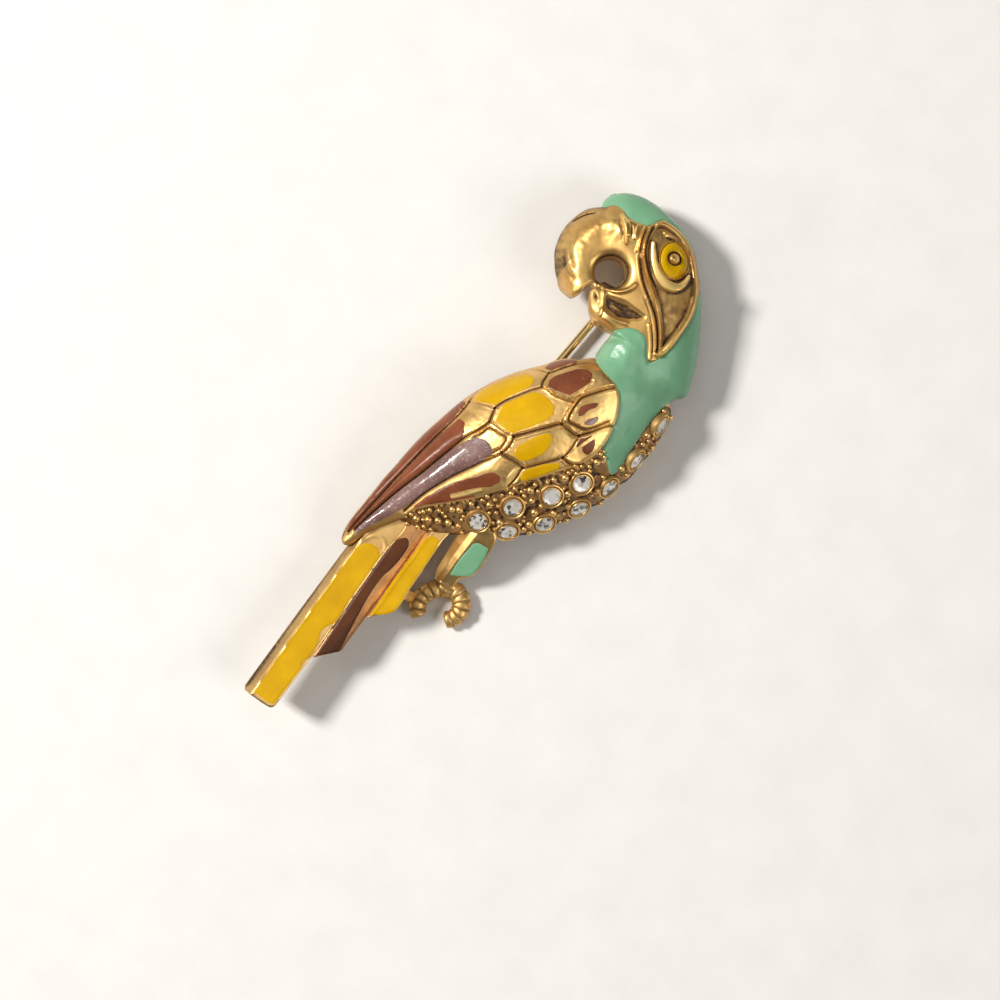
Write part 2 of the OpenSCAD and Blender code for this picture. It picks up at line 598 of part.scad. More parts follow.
// The hinge: a foot with two ears, and the rivet through them.
module pin_hinge() {
    ear_in = stem_r + ear_gap;
    color(gold)
        on_pin() {
            translate([-1.9, -1.6, pad_z - stem_z - 0.6])
                cube([3.8, 3.2, 0.6 - foot_gap]);
            for (s = [-1, 1])
                translate([s * (ear_in + ear_t / 2) - ear_t / 2, 0, 0])
                    union() {
                        rotate([0, 90, 0])
                            cylinder(h = ear_t, r = stem_z, $fn = 48);
                        translate([0, -1.2, 0])
                            cube([ear_t, 2.4, pad_z - stem_z - 0.3]);
                    }
            translate([-ear_in - ear_t - 0.12, 0, 0])
                rotate([0, 90, 0])
                    cylinder(h = 2 * (ear_in + ear_t + 0.12), r = rivet_r, $fn = 48);
        }
}

// The stem: an eye on the rivet, a neck, a thicker root, a straight wire and a tapered point.
module pin_stem() {
    neck_a = rivet_r + 0.3;
    root_a = stem_z + 0.25;
    root_b = root_a + 1.8;
    taper = span_l - point_l;
    color([0.78, 0.62, 0.36])
        on_pin()
            difference() {
                union() {
                    translate([0.03 - stem_r, 0, 0])
                        rotate([0, 90, 0])
                            cylinder(h = 2 * (stem_r - 0.03), r = eye_r, $fn = 48);
                    rotate([90, 0, 0]) {
                        translate([0, 0, neck_a])
                            cylinder(h = root_a + 0.2 - neck_a, r1 = stem_r - 0.1,
                                r2 = stem_r - 0.06, $fn = 48);
                        translate([0, 0, root_a])
                            cylinder(h = root_b - root_a, r = stem_r + 0.2, $fn = 48);
                        translate([0, 0, root_b - 0.2])
                            cylinder(h = taper + 0.2 - root_b, r = stem_r, $fn = 48);
                        translate([0, 0, taper])
                            cylinder(h = stem_l - taper, r1 = stem_r, r2 = stem_r * 0.35,
                                $fn = 48);
                    }
                }
                translate([-3, 0, 0])
                    rotate([0, 90, 0])
                        cylinder(h = 6, r = rivet_r + rivet_gap, $fn = 48);
            }
}

// The catch: a foot and a ring with its mouth away from the back.
module pin_catch() {
    color(gold)
        on_pin()
            translate([0, -span_l, 0])
                difference() {
                    union() {
                        rotate([90, 0, 0])
                            cylinder(h = catch_w, r = catch_r, center = true, $fn = 48);
                        translate([-0.7, -catch_w / 2, 0.4])
                            cube([1.4, catch_w, pad_z - stem_z - 0.7]);
                        translate([-1.6, -1.4, pad_z - stem_z - 0.5])
                            cube([3.2, 2.8, 0.5 - foot_gap]);
                    }
                    rotate([90, 0, 0])
                        cylinder(h = 2 * catch_w, r = catch_bore_r, center = true, $fn = 48);
                    translate([-slot_r, -catch_w, -2 * catch_r])
                        cube([2 * slot_r, 2 * catch_w, 2 * catch_r]);
                }
}

casting();
green_head_enamel();
green_leg_enamel();
eye_enamel();
wing_enamel(0);  // wing_enamel_1
wing_enamel(1);  // wing_enamel_2
wing_enamel(2);  // wing_enamel_3
wing_enamel(3);  // wing_enamel_4
wing_enamel(4);  // wing_enamel_5
wing_enamel(5);  // wing_enamel_6
wing_enamel(6);  // wing_enamel_7
wing_enamel(7);  // wing_enamel_8
flight_enamel(0);  // flight_enamel_1
flight_enamel(1);  // flight_enamel_2
flight_enamel(2);  // flight_enamel_3
flight_enamel(3);  // flight_enamel_4
tail_enamel(0);  // tail_enamel_1
tail_enamel(1);  // tail_enamel_2
tail_enamel(2);  // tail_enamel_3
stone(0);  // stone_1
stone(1);  // stone_2
stone(2);  // stone_3
stone(3);  // stone_4
stone(4);  // stone_5
stone(5);  // stone_6
stone(6);  // stone_7
stone(7);  // stone_8
stone(8);  // stone_9
stone(9);  // stone_10
pin_hinge();
pin_stem();
pin_catch();
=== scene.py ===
import math

import bpy
import numpy as np
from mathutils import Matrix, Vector
from mathutils.geometry import tessellate_polygon


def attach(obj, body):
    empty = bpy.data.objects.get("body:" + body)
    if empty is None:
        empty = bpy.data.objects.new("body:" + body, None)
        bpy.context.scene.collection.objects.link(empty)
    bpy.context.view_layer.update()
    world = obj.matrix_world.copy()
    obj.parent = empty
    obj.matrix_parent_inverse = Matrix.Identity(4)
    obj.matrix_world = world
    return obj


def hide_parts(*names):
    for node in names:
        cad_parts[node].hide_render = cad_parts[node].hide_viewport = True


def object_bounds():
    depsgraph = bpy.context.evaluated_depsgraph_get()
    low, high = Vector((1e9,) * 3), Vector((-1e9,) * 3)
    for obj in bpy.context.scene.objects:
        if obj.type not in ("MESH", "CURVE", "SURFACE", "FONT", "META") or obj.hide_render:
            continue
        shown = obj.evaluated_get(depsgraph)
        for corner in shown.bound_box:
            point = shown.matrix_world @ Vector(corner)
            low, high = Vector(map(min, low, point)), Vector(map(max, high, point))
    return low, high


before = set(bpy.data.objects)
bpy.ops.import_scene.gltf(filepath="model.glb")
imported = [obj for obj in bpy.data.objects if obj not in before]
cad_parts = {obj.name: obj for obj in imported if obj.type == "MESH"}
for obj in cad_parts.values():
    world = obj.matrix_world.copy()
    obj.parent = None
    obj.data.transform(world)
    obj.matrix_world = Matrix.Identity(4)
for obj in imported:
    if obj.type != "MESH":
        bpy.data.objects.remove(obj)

cad_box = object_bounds()

# All lengths below are in millimetres, in the frame's directions: +Y from the tail to the head,
# +X to the right seen from the front, +Z out of the front. Plan tables are drawn on a brooch
# 22.7 wide and 70.15 long, heights on one 10.98 deep. GRID and GZ fit both to the frame's box.
MM = 0.001
BODY = "brooch"
DRAWN_PLAN, DRAWN_DEPTH = (22.7, 70.15), 10.98
box_lo, box_hi = (np.array(c) / MM for c in cad_box)
GRID = (box_hi - box_lo)[:2] / DRAWN_PLAN
GZ = (box_hi - box_lo)[2] / DRAWN_DEPTH

WALL = 1.5
WING_LIFT = 0.42 * GZ
STONE_R = 1.02
HOLE = np.array([-4.2, 25.75]) * GRID
HOLE_R = 1.78
IRIS = np.array([0.6, 30.95]) * GRID
IRIS_R = (1.68, 2.08)
BOSS = np.array([0.5, 31.1]) * GRID
BOSS_R = 0.62
HINGE = np.array([-2.02, 30.5]) * GRID
CATCH = np.array([-4.2, -6.0]) * GRID
# how far the bird leans in the photograph, which its eye's long way follows
LEAN = math.atan2(0.6, 0.8)


# Curves

def smooth(points, closed=False, step=0.15):
    """A dense centripetal Catmull-Rom curve through the points, in any number of columns."""
    p = np.array(points, float)
    if closed:
        q = np.vstack([p[-1], p, p[0], p[1]])
    else:
        q = np.vstack([2 * p[0] - p[1], p, 2 * p[-1] - p[-2]])
    out = []
    for a, b, c, d in zip(q[:-3], q[1:-2], q[2:-1], q[3:]):
        ka, kb, kc = (max(np.linalg.norm(v[:2]), 1e-6) ** 0.5 for v in (b - a, c - b, d - c))
        m1 = c - b + kb * ((b - a) / ka - (c - a) / (ka + kb))
        m2 = c - b + kb * ((d - c) / kc - (d - b) / (kb + kc))
        n = max(2, math.ceil(np.linalg.norm((c - b)[:2]) / step))
        t = np.linspace(0, 1, n, endpoint=False)[:, None]
        out.append(b + m1 * t + (3 * (c - b) - 2 * m1 - m2) * t**2
                   + (2 * (b - c) + m1 + m2) * t**3)
    if not closed:
        out.append(p[-1:])
    return np.vstack(out)


def path(points, step=0.15):
    """An open curve drawn on the plan's grid."""
    p = np.array(points, float)
    p[:, :2] *= GRID
    return smooth(p, step=step)


def outline(*runs, step=0.15):
    """A closed line on the plan's grid from smooth runs that meet in corners."""
    runs = [np.array(r, float) * GRID for r in runs]
    if len(runs) == 1:
        return smooth(runs[0], closed=True, step=step)
    parts = [smooth(np.vstack([r, s[:1]]), step=step)[:-1]
             for r, s in zip(runs, runs[1:] + runs[:1])]
    return np.vstack(parts)


def scale_line(points, cut=0.22, step=0.15):
    """A polygon on the plan's grid with its corners rounded off."""
    p = np.array(points, float) * GRID
    out = []
    for a, b, c in zip(np.roll(p, 1, 0), p, np.roll(p, -1, 0)):
        u, v = a - b, c - b
        lu, lv = np.linalg.norm(u), np.linalg.norm(v)
        g = min(cut, lu * 0.45, lv * 0.45)
        s, e = b + u / lu * g, b + v / lv * g
        t = np.linspace(0, 1, max(3, int(2 * g / step) + 2))[:, None]
        out.append((1 - t) ** 2 * s + 2 * t * (1 - t) * b + t**2 * e)
    line = np.vstack(out)
    dense = []
    for a, b in zip(line, np.roll(line, -1, 0)):
        n = max(1, math.ceil(np.linalg.norm(b - a) / step))
        dense.append(a + (b - a) * np.linspace(0, 1, n, endpoint=False)[:, None])
    return np.vstack(dense)


def ellipse(centre, rx, ry, turn=0.0, n=72):
    a = np.linspace(0, 2 * math.pi, n, endpoint=False)
    c, s = math.cos(turn), math.sin(turn)
    x, y = rx * np.cos(a), ry * np.sin(a)
    return np.stack([centre[0] + c * x - s * y, centre[1] + s * x + c * y], 1)


def inset(line, gap):
    """A closed line moved inwards by gap."""
    t = np.roll(line, -1, 0) - np.roll(line, 1, 0)
    n = np.stack([-t[:, 1], t[:, 0]], 1) / np.maximum(np.linalg.norm(t, axis=1), 1e-9)[:, None]
    area = (line[:, 0] * np.roll(line[:, 1], -1) - line[:, 1] * np.roll(line[:, 0], -1)).sum()
    return line + n * gap * (1 if area > 0 else -1)


def nearest(line, x, y, closed=True):
    """Distance to a line, positive inside a closed one, and the nearest point on it."""
    a = line if closed else line[:-1]
    b = np.roll(line, -1, 0) if closed else line[1:]
    ab = b - a
    square = np.maximum((ab**2).sum(1), 1e-12)
    p = np.stack([x.ravel(), y.ravel()], 1)
    dist, foot = np.empty(len(p)), np.empty((len(p), 2))
    for i in range(0, len(p), 3000):
        q = p[i:i + 3000]
        dx, dy = q[:, :1] - a[:, 0], q[:, 1:] - a[:, 1]
        t = np.clip((dx * ab[:, 0] + dy * ab[:, 1]) / square, 0, 1)
        ex, ey = dx - t * ab[:, 0], dy - t * ab[:, 1]
        far = ex * ex + ey * ey
        k = far.argmin(1)
        row = np.arange(len(q))
        dist[i:i + 3000] = np.sqrt(far[row, k])
        foot[i:i + 3000] = q - np.stack([ex[row, k], ey[row, k]], 1)
        if closed:
            over = (a[:, 1] > q[:, 1:]) != (b[:, 1] > q[:, 1:])
            cross = dx * ab[:, 1] < dy * ab[:, 0]
            turn = np.where(ab[:, 1] > 0, cross, ~cross)
            out = (over & turn).sum(1) % 2 == 0
            dist[i:i + 3000][out] *= -1
    return dist.reshape(x.shape), foot.reshape(x.shape + (2,))


def away(line, x, y):
    """Distance to an open line, and the nearest point on it."""
    return nearest(line[:, :2], x, y, closed=False)


def along(line):
    """Each point's share of the line's length."""
    length = np.concatenate([[0], np.cumsum(np.linalg.norm(np.diff(line, axis=0), axis=1))])
    return length / length[-1]


def ease(t):
    t = np.clip(t, 0, 1)
    return t * t * (3 - 2 * t)


def bell(t):
    return np.exp(-t * t)


def spot(x, y, at, size, power=2):
    """A round or oval hill, 1 high in its middle."""
    rx, ry = np.broadcast_to(size, 2)
    return np.exp(-np.hypot((x - at[0]) / rx, (y - at[1]) / ry) ** power)


def grain(x, y, size, seed):
    """Smooth random bumps from -1 to 1, about size apart."""
    table = np.random.default_rng(seed).uniform(-1, 1, (64, 64))
    u, v = x / size + 20.3, y / size + 40.7
    i, j = np.floor(u).astype(int), np.floor(v).astype(int)
    s, t = ease(u - i), ease(v - j)
    i0, i1, j0, j1 = i % 64, (i + 1) % 64, j % 64, (j + 1) % 64
    return ((table[i0, j0] * (1 - s) + table[i1, j0] * s) * (1 - t)
            + (table[i0, j1] * (1 - s) + table[i1, j1] * s) * t)


# Materials

def material(name):
    m = bpy.data.materials.new(name)
    m.use_nodes = True
    return m, m.node_tree, m.node_tree.nodes["Principled BSDF"]


def node(tree, kind, values=(), **settings):
    n = tree.nodes.new(kind)
    for k, v in settings.items():
        setattr(n, k, v)
    for k, v in dict(values).items():
        n.inputs[k].default_value = v
    return n


def noise_of(tree, size, detail=3.0, rough=0.55):
    """Noise from 0 to 1 with features of about size millimetres, fixed to the piece."""
    at = node(tree, "ShaderNodeTexCoord")
    n = node(tree, "ShaderNodeTexNoise", {"Scale": 1 / (size * MM), "Detail": detail,
                                          "Roughness": rough})
    tree.links.new(at.outputs["Object"], n.inputs["Vector"])
    return n.outputs["Fac"]


def ramp(tree, value, stops):
    r = node(tree, "ShaderNodeValToRGB")
    e = r.color_ramp.elements
    while len(e) < len(stops):
        e.new(0.5)
    for k, (at, colour) in zip(e, stops):
        k.position = at
        k.color = (*colour, 1)
    tree.links.new(value, r.inputs["Fac"])
    return r.outputs["Color"]


def grey(v):
    return (v, v, v)


def mix(tree, fac, a, b):
    m = node(tree, "ShaderNodeMix", data_type="RGBA")
    for socket, v in ((m.inputs["Factor"], fac), (m.inputs["A"], a), (m.inputs["B"], b)):
        if isinstance(v, (tuple, float, int)):
            socket.default_value = (*v, 1) if isinstance(v, tuple) else v
        else:
            tree.links.new(v, socket)
    return m.outputs["Result"]


def maths(tree, op, a, b=0.0, c=0.0):
    m = node(tree, "ShaderNodeMath", operation=op)
    m.use_clamp = True
    for socket, v in zip(m.inputs, (a, b, c)):
        if isinstance(v, (float, int)):
            socket.default_value = v
        else:
            tree.links.new(v, socket)
    return m.outputs["Value"]


def bump(tree, shader, height, amount, distance):
    b = node(tree, "ShaderNodeBump", {"Strength": amount, "Distance": distance * MM})
    tree.links.new(height, b.inputs["Height"])
    tree.links.new(b.outputs["Normal"], shader.inputs["Normal"])


def feed(tree, shader, **inputs):
    for name, value in inputs.items():
        tree.links.new(value, shader.inputs[name.replace("_", " ")])


def gold(name, light, warm, rough, grime_shade_gain=1.0, base_darkening=0.0):
    """Gold plate, rosier in patches. Where the piece's marks are positive the colour darkens, for
    antiquing, soiling and painted shade; where they are negative it lightens, for painted
    highlights and bare wear."""
    m, t, s = material(name)
    attr = node(t, "ShaderNodeAttribute", attribute_name="grime_shade_shine")
    cloud = noise_of(t, 2.6, 4.0)
    fine = noise_of(t, 0.35, 4.0, 0.65)
    tone = mix(t, ramp(t, cloud, [(0.35, grey(0)), (0.65, grey(1))]), light, warm)
    # Negative marks lighten the colour and lower the metal: painted highlights and bare wear.
    shine_and_wear = maths(t, "MULTIPLY", attr.outputs["Fac"], -1.0)
    tone = mix(t, shine_and_wear, tone, SHINE_AND_WEAR_TONE)
    # Positive marks darken the colour: antiquing, soiling and painted shade.
    grime_and_shade = maths(t, "MULTIPLY_ADD", attr.outputs["Fac"], grime_shade_gain, base_darkening)
    grime_and_shade = maths(t, "MULTIPLY", grime_and_shade, maths(t, "MULTIPLY_ADD", fine, 1.3, 0.35))
    metal = maths(t, "MULTIPLY_ADD", grime_and_shade, -0.75, 1.0)
    base = maths(t, "MULTIPLY_ADD", fine, rough[1] - rough[0], rough[0])
    feed(t, s, Base_Color=mix(t, grime_and_shade, tone, DIRT_AND_SHADE),
         Metallic=maths(t, "MULTIPLY_ADD", shine_and_wear, -0.55, metal),
         Roughness=maths(t, "MULTIPLY_ADD", grime_and_shade, 0.3, base))
    bump(t, s, maths(t, "MULTIPLY_ADD", noise_of(t, 0.12, 3.0), 0.35, fine), 0.16, 0.05)
    return m


def enamel(name, colour, shade, speck, coat=0.0, rough=0.16, speck_at=0.72):
    """Glossy enamel with a slightly wavy skin, uneven tone and a few specks of the speck colour."""
    m, t, s = material(name)
    cloud = noise_of(t, 3.2, 3.0)
    fine = noise_of(t, 0.3, 4.0, 0.6)
    tone = mix(t, ramp(t, cloud, [(0.3, grey(0)), (0.7, grey(1))]), colour, shade)
    tone = mix(t, ramp(t, fine, [(speck_at, grey(0)), (speck_at + 0.05, grey(0.7))]), tone, speck)
    feed(t, s, Base_Color=tone, Roughness=maths(t, "MULTIPLY_ADD", fine, 0.16, rough))
    s.inputs["Specular IOR Level"].default_value = 0.2
    s.inputs["Coat Weight"].default_value = coat
    s.inputs["Coat Roughness"].default_value = 0.08
    bump(t, s, maths(t, "MULTIPLY_ADD", fine, 0.12, noise_of(t, 0.9, 2.0)), 0.35, 0.1)
    return m


def clear_stone():
    m, t, s = material("clear_stone")
    s.inputs["Base Color"].default_value = (0.97, 0.98, 1.0, 1)
    s.inputs["Transmission Weight"].default_value = 1.0
    s.inputs["IOR"].default_value = 1.58
    s.inputs["Alpha"].default_value = 0.4
    feed(t, s, Roughness=maths(t, "MULTIPLY", noise_of(t, 0.5), 0.04))
    return m


def stone_foil():
    """A pale foil painted in light and dark wedges, about 0.38 across: painted glints and painted
    shade of the stone's facets.
    """
    m, t, s = material("stone_foil")
    s.inputs["Metallic"].default_value = 0.35
    at = node(t, "ShaderNodeTexCoord")
    wedge = node(t, "ShaderNodeTexVoronoi", {"Scale": 1 / (0.38 * MM)})
    t.links.new(at.outputs["Object"], wedge.inputs["Vector"])
    parts = node(t, "ShaderNodeSeparateColor")
    t.links.new(wedge.outputs["Color"], parts.inputs["Color"])
    # Light wedges are painted glints, dark ones painted shade.
    tone = ramp(t, parts.outputs["Red"], [(0.0, (0.08, 0.07, 0.06)), (0.26, (0.24, 0.21, 0.18)),
                                          (0.34, (0.78, 0.73, 0.65)), (0.75, (1.0, 0.98, 0.93))])
    feed(t, s, Base_Color=tone, Roughness=maths(t, "MULTIPLY_ADD", noise_of(t, 0.2), 0.1, 0.1))
    return m


def pale_paper():
    m, t, s = material("paper")
    s.inputs["Roughness"].default_value = 0.85
    feed(t, s, Base_Color=ramp(t, noise_of(t, 6.0, 5.0), [(0.3, (0.74, 0.73, 0.71)),
                                                          (0.7, (0.78, 0.77, 0.75))]))
    bump(t, s, noise_of(t, 0.4), 0.2, 0.05)
    return m


# The dark colour of antiquing, soiling and painted shade, then the light colour of painted
# highlights and bare wear.
DIRT_AND_SHADE = (0.045, 0.018, 0.005)
SHINE_AND_WEAR_TONE = (1.0, 0.74, 0.27)
bright_gold = gold("bright_gold", (0.88, 0.57, 0.19), (0.7, 0.39, 0.12), (0.22, 0.42), 1.0, 0.04)
satin_gold = gold("satin_gold", (0.86, 0.57, 0.22), (0.72, 0.43, 0.15), (0.3, 0.5))
# The belly band's gold is antiqued and also painted darker: painted shade for a band turned away
# from the light.
shaded_antique_gold = gold("shaded_antique_gold", (0.62, 0.37, 0.15), (0.42, 0.22, 0.08), (0.26, 0.46), 1.4, 0.2)
rosy_gold = gold("rosy_gold", (0.65, 0.36, 0.155), (0.46, 0.22, 0.085), (0.42, 0.6), 1.0, 0.08)
wire_gold = gold("wire_gold", (0.8, 0.6, 0.28), (0.72, 0.5, 0.22), (0.12, 0.24))
green = enamel("sea_green_enamel", (0.2, 0.42, 0.25), (0.155, 0.355, 0.205), (0.1, 0.26, 0.14),
               rough=0.13, speck_at=0.8)
yellow = enamel("yellow_enamel", (0.64, 0.37, 0.0015), (0.54, 0.29, 0.0015), (0.3, 0.15, 0.004))
# The brown's light specks are painted sparkle.
brown = enamel("brown_enamel", (0.23, 0.067, 0.028), (0.13, 0.034, 0.014), (0.36, 0.16, 0.08),
               rough=0.22, speck_at=0.64)
umber = enamel("umber_enamel", (0.105, 0.032, 0.008), (0.07, 0.02, 0.006), (0.17, 0.07, 0.03),
               rough=0.3, speck_at=0.66)
# The plum's pale specks are painted sparkle.
plum = enamel("plum_enamel", (0.26, 0.155, 0.14), (0.16, 0.08, 0.07), (0.52, 0.44, 0.41),
              coat=0.6, rough=0.22, speck_at=0.6)


# Meshes

def piece(name, verts, faces, mat, grime_shade_shine=None, sharp=40, body=BODY):
    """A finished mesh piece from millimetre points, riding on its body."""
    mesh = bpy.data.meshes.new(name)
    mesh.from_pydata((np.asarray(verts) * MM).tolist(), [], faces)
    mesh.validate()
    mesh.shade_smooth()
    mesh.set_sharp_from_angle(angle=math.radians(sharp))
    values = np.zeros(len(verts), np.float32) if grime_shade_shine is None else grime_shade_shine.astype(np.float32)
    mesh.attributes.new("grime_shade_shine", "FLOAT", "POINT").data.foreach_set("value", values)
    mesh.materials.append(mat)
    obj = bpy.data.objects.new(name, mesh)
    bpy.context.scene.collection.objects.link(obj)
    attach(obj, body)
    return obj


def blur(z, r):
    """The mean over a square of 2 r + 1 nodes."""
    for axis in (0, 1):
        pad = [(r + 1, r) if k == axis else (0, 0) for k in (0, 1)]
        c = np.cumsum(np.pad(z, pad, mode="edge"), axis)
        n = z.shape[axis]
        hi = np.take(c, np.arange(2 * r + 1, 2 * r + 1 + n), axis)
        z = (hi - np.take(c, np.arange(0, n), axis)) / (2 * r + 1)
    return z


CORNERS = [np.s_[:-1, :-1], np.s_[:-1, 1:], np.s_[1:, 1:], np.s_[1:, :-1]]
WELD = 0.004


def snapped_grid(line, holes, step):
    """A grid over a closed line less its holes, with the nodes by an edge moved onto it: x, y,
    distance inside, and the cells and nodes that are used."""
    lo, hi = line.min(0) - 2 * step, line.max(0) + 2 * step
    X, Y = np.meshgrid(np.arange(lo[0], hi[0], step), np.arange(lo[1], hi[1], step))
    D, P = nearest(line, X, Y)
    for h in holes:
        E, Q = nearest(h, X, Y)
        use = -E < D
        D, P = np.where(use, -E, D), np.where(use[..., None], Q, P)
    near, deep = D > -1.15 * step, D > 0.35 * step
    snap = near & ~deep
    X[snap], Y[snap] = P[snap, 0], P[snap, 1]
    cells = np.logical_and.reduce([near[c] for c in CORNERS])
    cells &= np.logical_or.reduce([deep[c] for c in CORNERS])
    used = np.zeros_like(near)
    for c in CORNERS:
        used[c] |= cells
    return X, Y, np.maximum(np.where(snap, 0, D), 0), cells, used


def welded(X, Y, cells, used):
    """The faces of the cells, with nodes on one place made one, and where each point is from."""
    keys = np.round(np.stack([X[used], Y[used]], 1) / WELD).astype(np.int64)
    _, first, number = np.unique(keys, axis=0, return_index=True, return_inverse=True)
    index = np.full(used.shape, -1)
    index[used] = number.ravel()
    quads = np.stack([index[c][cells] for c in CORNERS], 1)
    same = (np.sort(quads, 1)[:, 1:] == np.sort(quads, 1)[:, :-1]).any(1)
    faces = quads[~same].tolist()
    for q in quads[same].tolist():
        q = [v for k, v in enumerate(q) if v != q[k - 1]]
        if len(set(q)) == len(q) > 2:
            faces.append(q)
    return faces, first


def flat_cap(x, y, follow, place):
    """Triangles, facing down, over the loops that follow leads round from point to point. place
    gives the number of each point's twin in the cap."""
    loops, left = [], dict(follow)
    while left:
        u = min(left)
        loop = []
        while u in left:
            loop.append(u)
            u = left.pop(u)
        loops.append(loop)
    flat = [v for loop in loops for v in loop]
    faces = []
    for tri in tessellate_polygon([[Vector((x[v], y[v], 0)) for v in p] for p in loops]):
        a, b, c = (flat[k] for k in tri)
        up = (x[b] - x[a]) * (y[c] - y[a]) - (y[b] - y[a]) * (x[c] - x[a]) > 0
        faces.append([place[v] for v in ((a, c, b) if up else (a, b, c))])
    return faces


def relief(name, line, top, mat, step=0.12, holes=(), drop=0.7, low=None, cavity=0.09,
           reach=0.4):
    """A closed solid over a closed line, top(x, y, d) high, d being the distance inside. The
    top may give its marks as well: soiling and painted shade where positive, painted highlights and
    bare wear where negative. Cavities deep over reach are darkened too, for antiquing and painted
    shade.
    The underside is low(x, y, d). Without it a plain cap spans the rim, drop lower, or where
    the rim touches itself, a copy of the top."""
    X, Y, D, cells, used = snapped_grid(line, holes, step)
    Z = top(X, Y, D)
    Z, top_grime_shade_shine = Z if isinstance(Z, tuple) else (Z, 0)
    r = max(1, round(reach / step))
    # Cavities darken: antiquing and painted shade.
    G = np.clip((blur(blur(Z, r), r) - Z) / cavity, 0, 1) * ease(D / 0.15)
    G = np.clip(G + top_grime_shade_shine, -1, 1)
    faces, first = welded(X, Y, cells, used)
    x, y, z, g, d = (A[used][first] for A in (X, Y, Z, G, D))
    n = len(x)
    edges = {(f[k - 1], f[k]) for f in faces for k in range(len(f))}
    rim = [e for e in edges if (e[1], e[0]) not in edges]
    follow = {}
    for u, v in rim:
        follow[u] = v if u not in follow else None
    verts = np.stack([x, y, z], 1)
    if low is not None or None in follow.values():
        under = low(x, y, d) if low is not None else z - drop
        verts = np.vstack([verts, np.stack([x, y, under], 1)])
        faces += [[v + n for v in f[::-1]] for f in faces]
        faces += [[u, u + n, v + n, v] for u, v in rim]
        # The underside is painted dark: painted shade.
        g = np.concatenate([g, np.full(n, 0.35)])
        return piece(name, verts, faces, mat, g)
    ring = sorted(follow)
    place = {v: n + k for k, v in enumerate(ring)}
    verts = np.vstack([verts, verts[ring] - (0, 0, drop)])
    faces += [[u, place[u], place[v], v] for u, v in sorted(rim)]
    faces += flat_cap(x, y, follow, place)
    # The cap is painted dark: painted shade.
    g = np.concatenate([g, np.full(len(ring), 0.3)])
    return piece(name, verts, faces, mat, g)


def joined(parts):
    """One list of points, faces and marks of shade, soiling and shine from several."""
    verts, faces, grime_shade_shine, n = [], [], [], 0
    for v, f, g in parts:
        verts.append(v)
        grime_shade_shine.append(g)
        faces += [[k + n for k in face] for face in f]
        n += len(v)
    return np.vstack(verts), faces, np.concatenate(grime_shade_shine)


def belt(i, j, sides, flip=False):
    """Quads between two rings of points, which start at i and j."""
    quads = [[i + k, j + k, j + (k + 1) % sides, i + (k + 1) % sides] for k in range(sides)]
    return [[a, d, c, b] for a, b, c, d in quads] if flip else quads


def tube(line, radius, sides, flat):
    """Points and faces of a closed tube round a line of 3-D points, radius(share) wide."""
    tangent = np.gradient(line, axis=0)
    tangent /= np.linalg.norm(tangent, axis=1)[:, None]
    side = np.cross(tangent, (0, 0, 1.0))
    side /= np.linalg.norm(side, axis=1)[:, None]
    up = np.cross(side, tangent)
    a = np.linspace(0, 2 * math.pi, sides, endpoint=False)
    r = radius(along(line))[:, None, None]
    rings = (line[:, None] + side[:, None] * np.cos(a)[None, :, None] * r
             + up[:, None] * np.sin(a)[None, :, None] * r * flat)
    verts = np.vstack([rings.reshape(-1, 3), line[:1], line[-1:]])
    faces = []
    n = len(line)
    for i in range(n - 1):
        faces += belt(i * sides, (i + 1) * sides, sides)
    for k in range(sides):
        m = (k + 1) % sides
        faces.append([n * sides, k, m])
        faces.append([n * sides + 1, (n - 1) * sides + m, (n - 1) * sides + k])
    return verts, faces


def ball(centre, axes, turn, rings=10, sides=16):
    """A squashed ball: axes are its half sizes along the columns of turn. The last value, a
    darkening that grows towards its foot, is painted shade under the ball."""
    a = math.pi * np.arange(1, rings)[:, None] / rings
    b = 2 * math.pi * np.arange(sides) / sides
    v = np.stack([np.sin(a) * np.cos(b), np.sin(a) * np.sin(b), np.cos(a) + 0 * b], 2)
    v = np.vstack([v.reshape(-1, 3), (0, 0, 1), (0, 0, -1)])
    top, foot, last = len(v) - 2, len(v) - 1, (rings - 2) * sides
    faces = []
    for i in range(rings - 2):
        faces += belt(i * sides, (i + 1) * sides, sides)
    for k in range(sides):
        m = (k + 1) % sides
        faces += [[top, k, m], [foot, last + m, last + k]]
    return (v * axes) @ np.asarray(turn).T + centre, faces, np.clip(0.3 - v[:, 2], 0, 1)


# The bird's surface

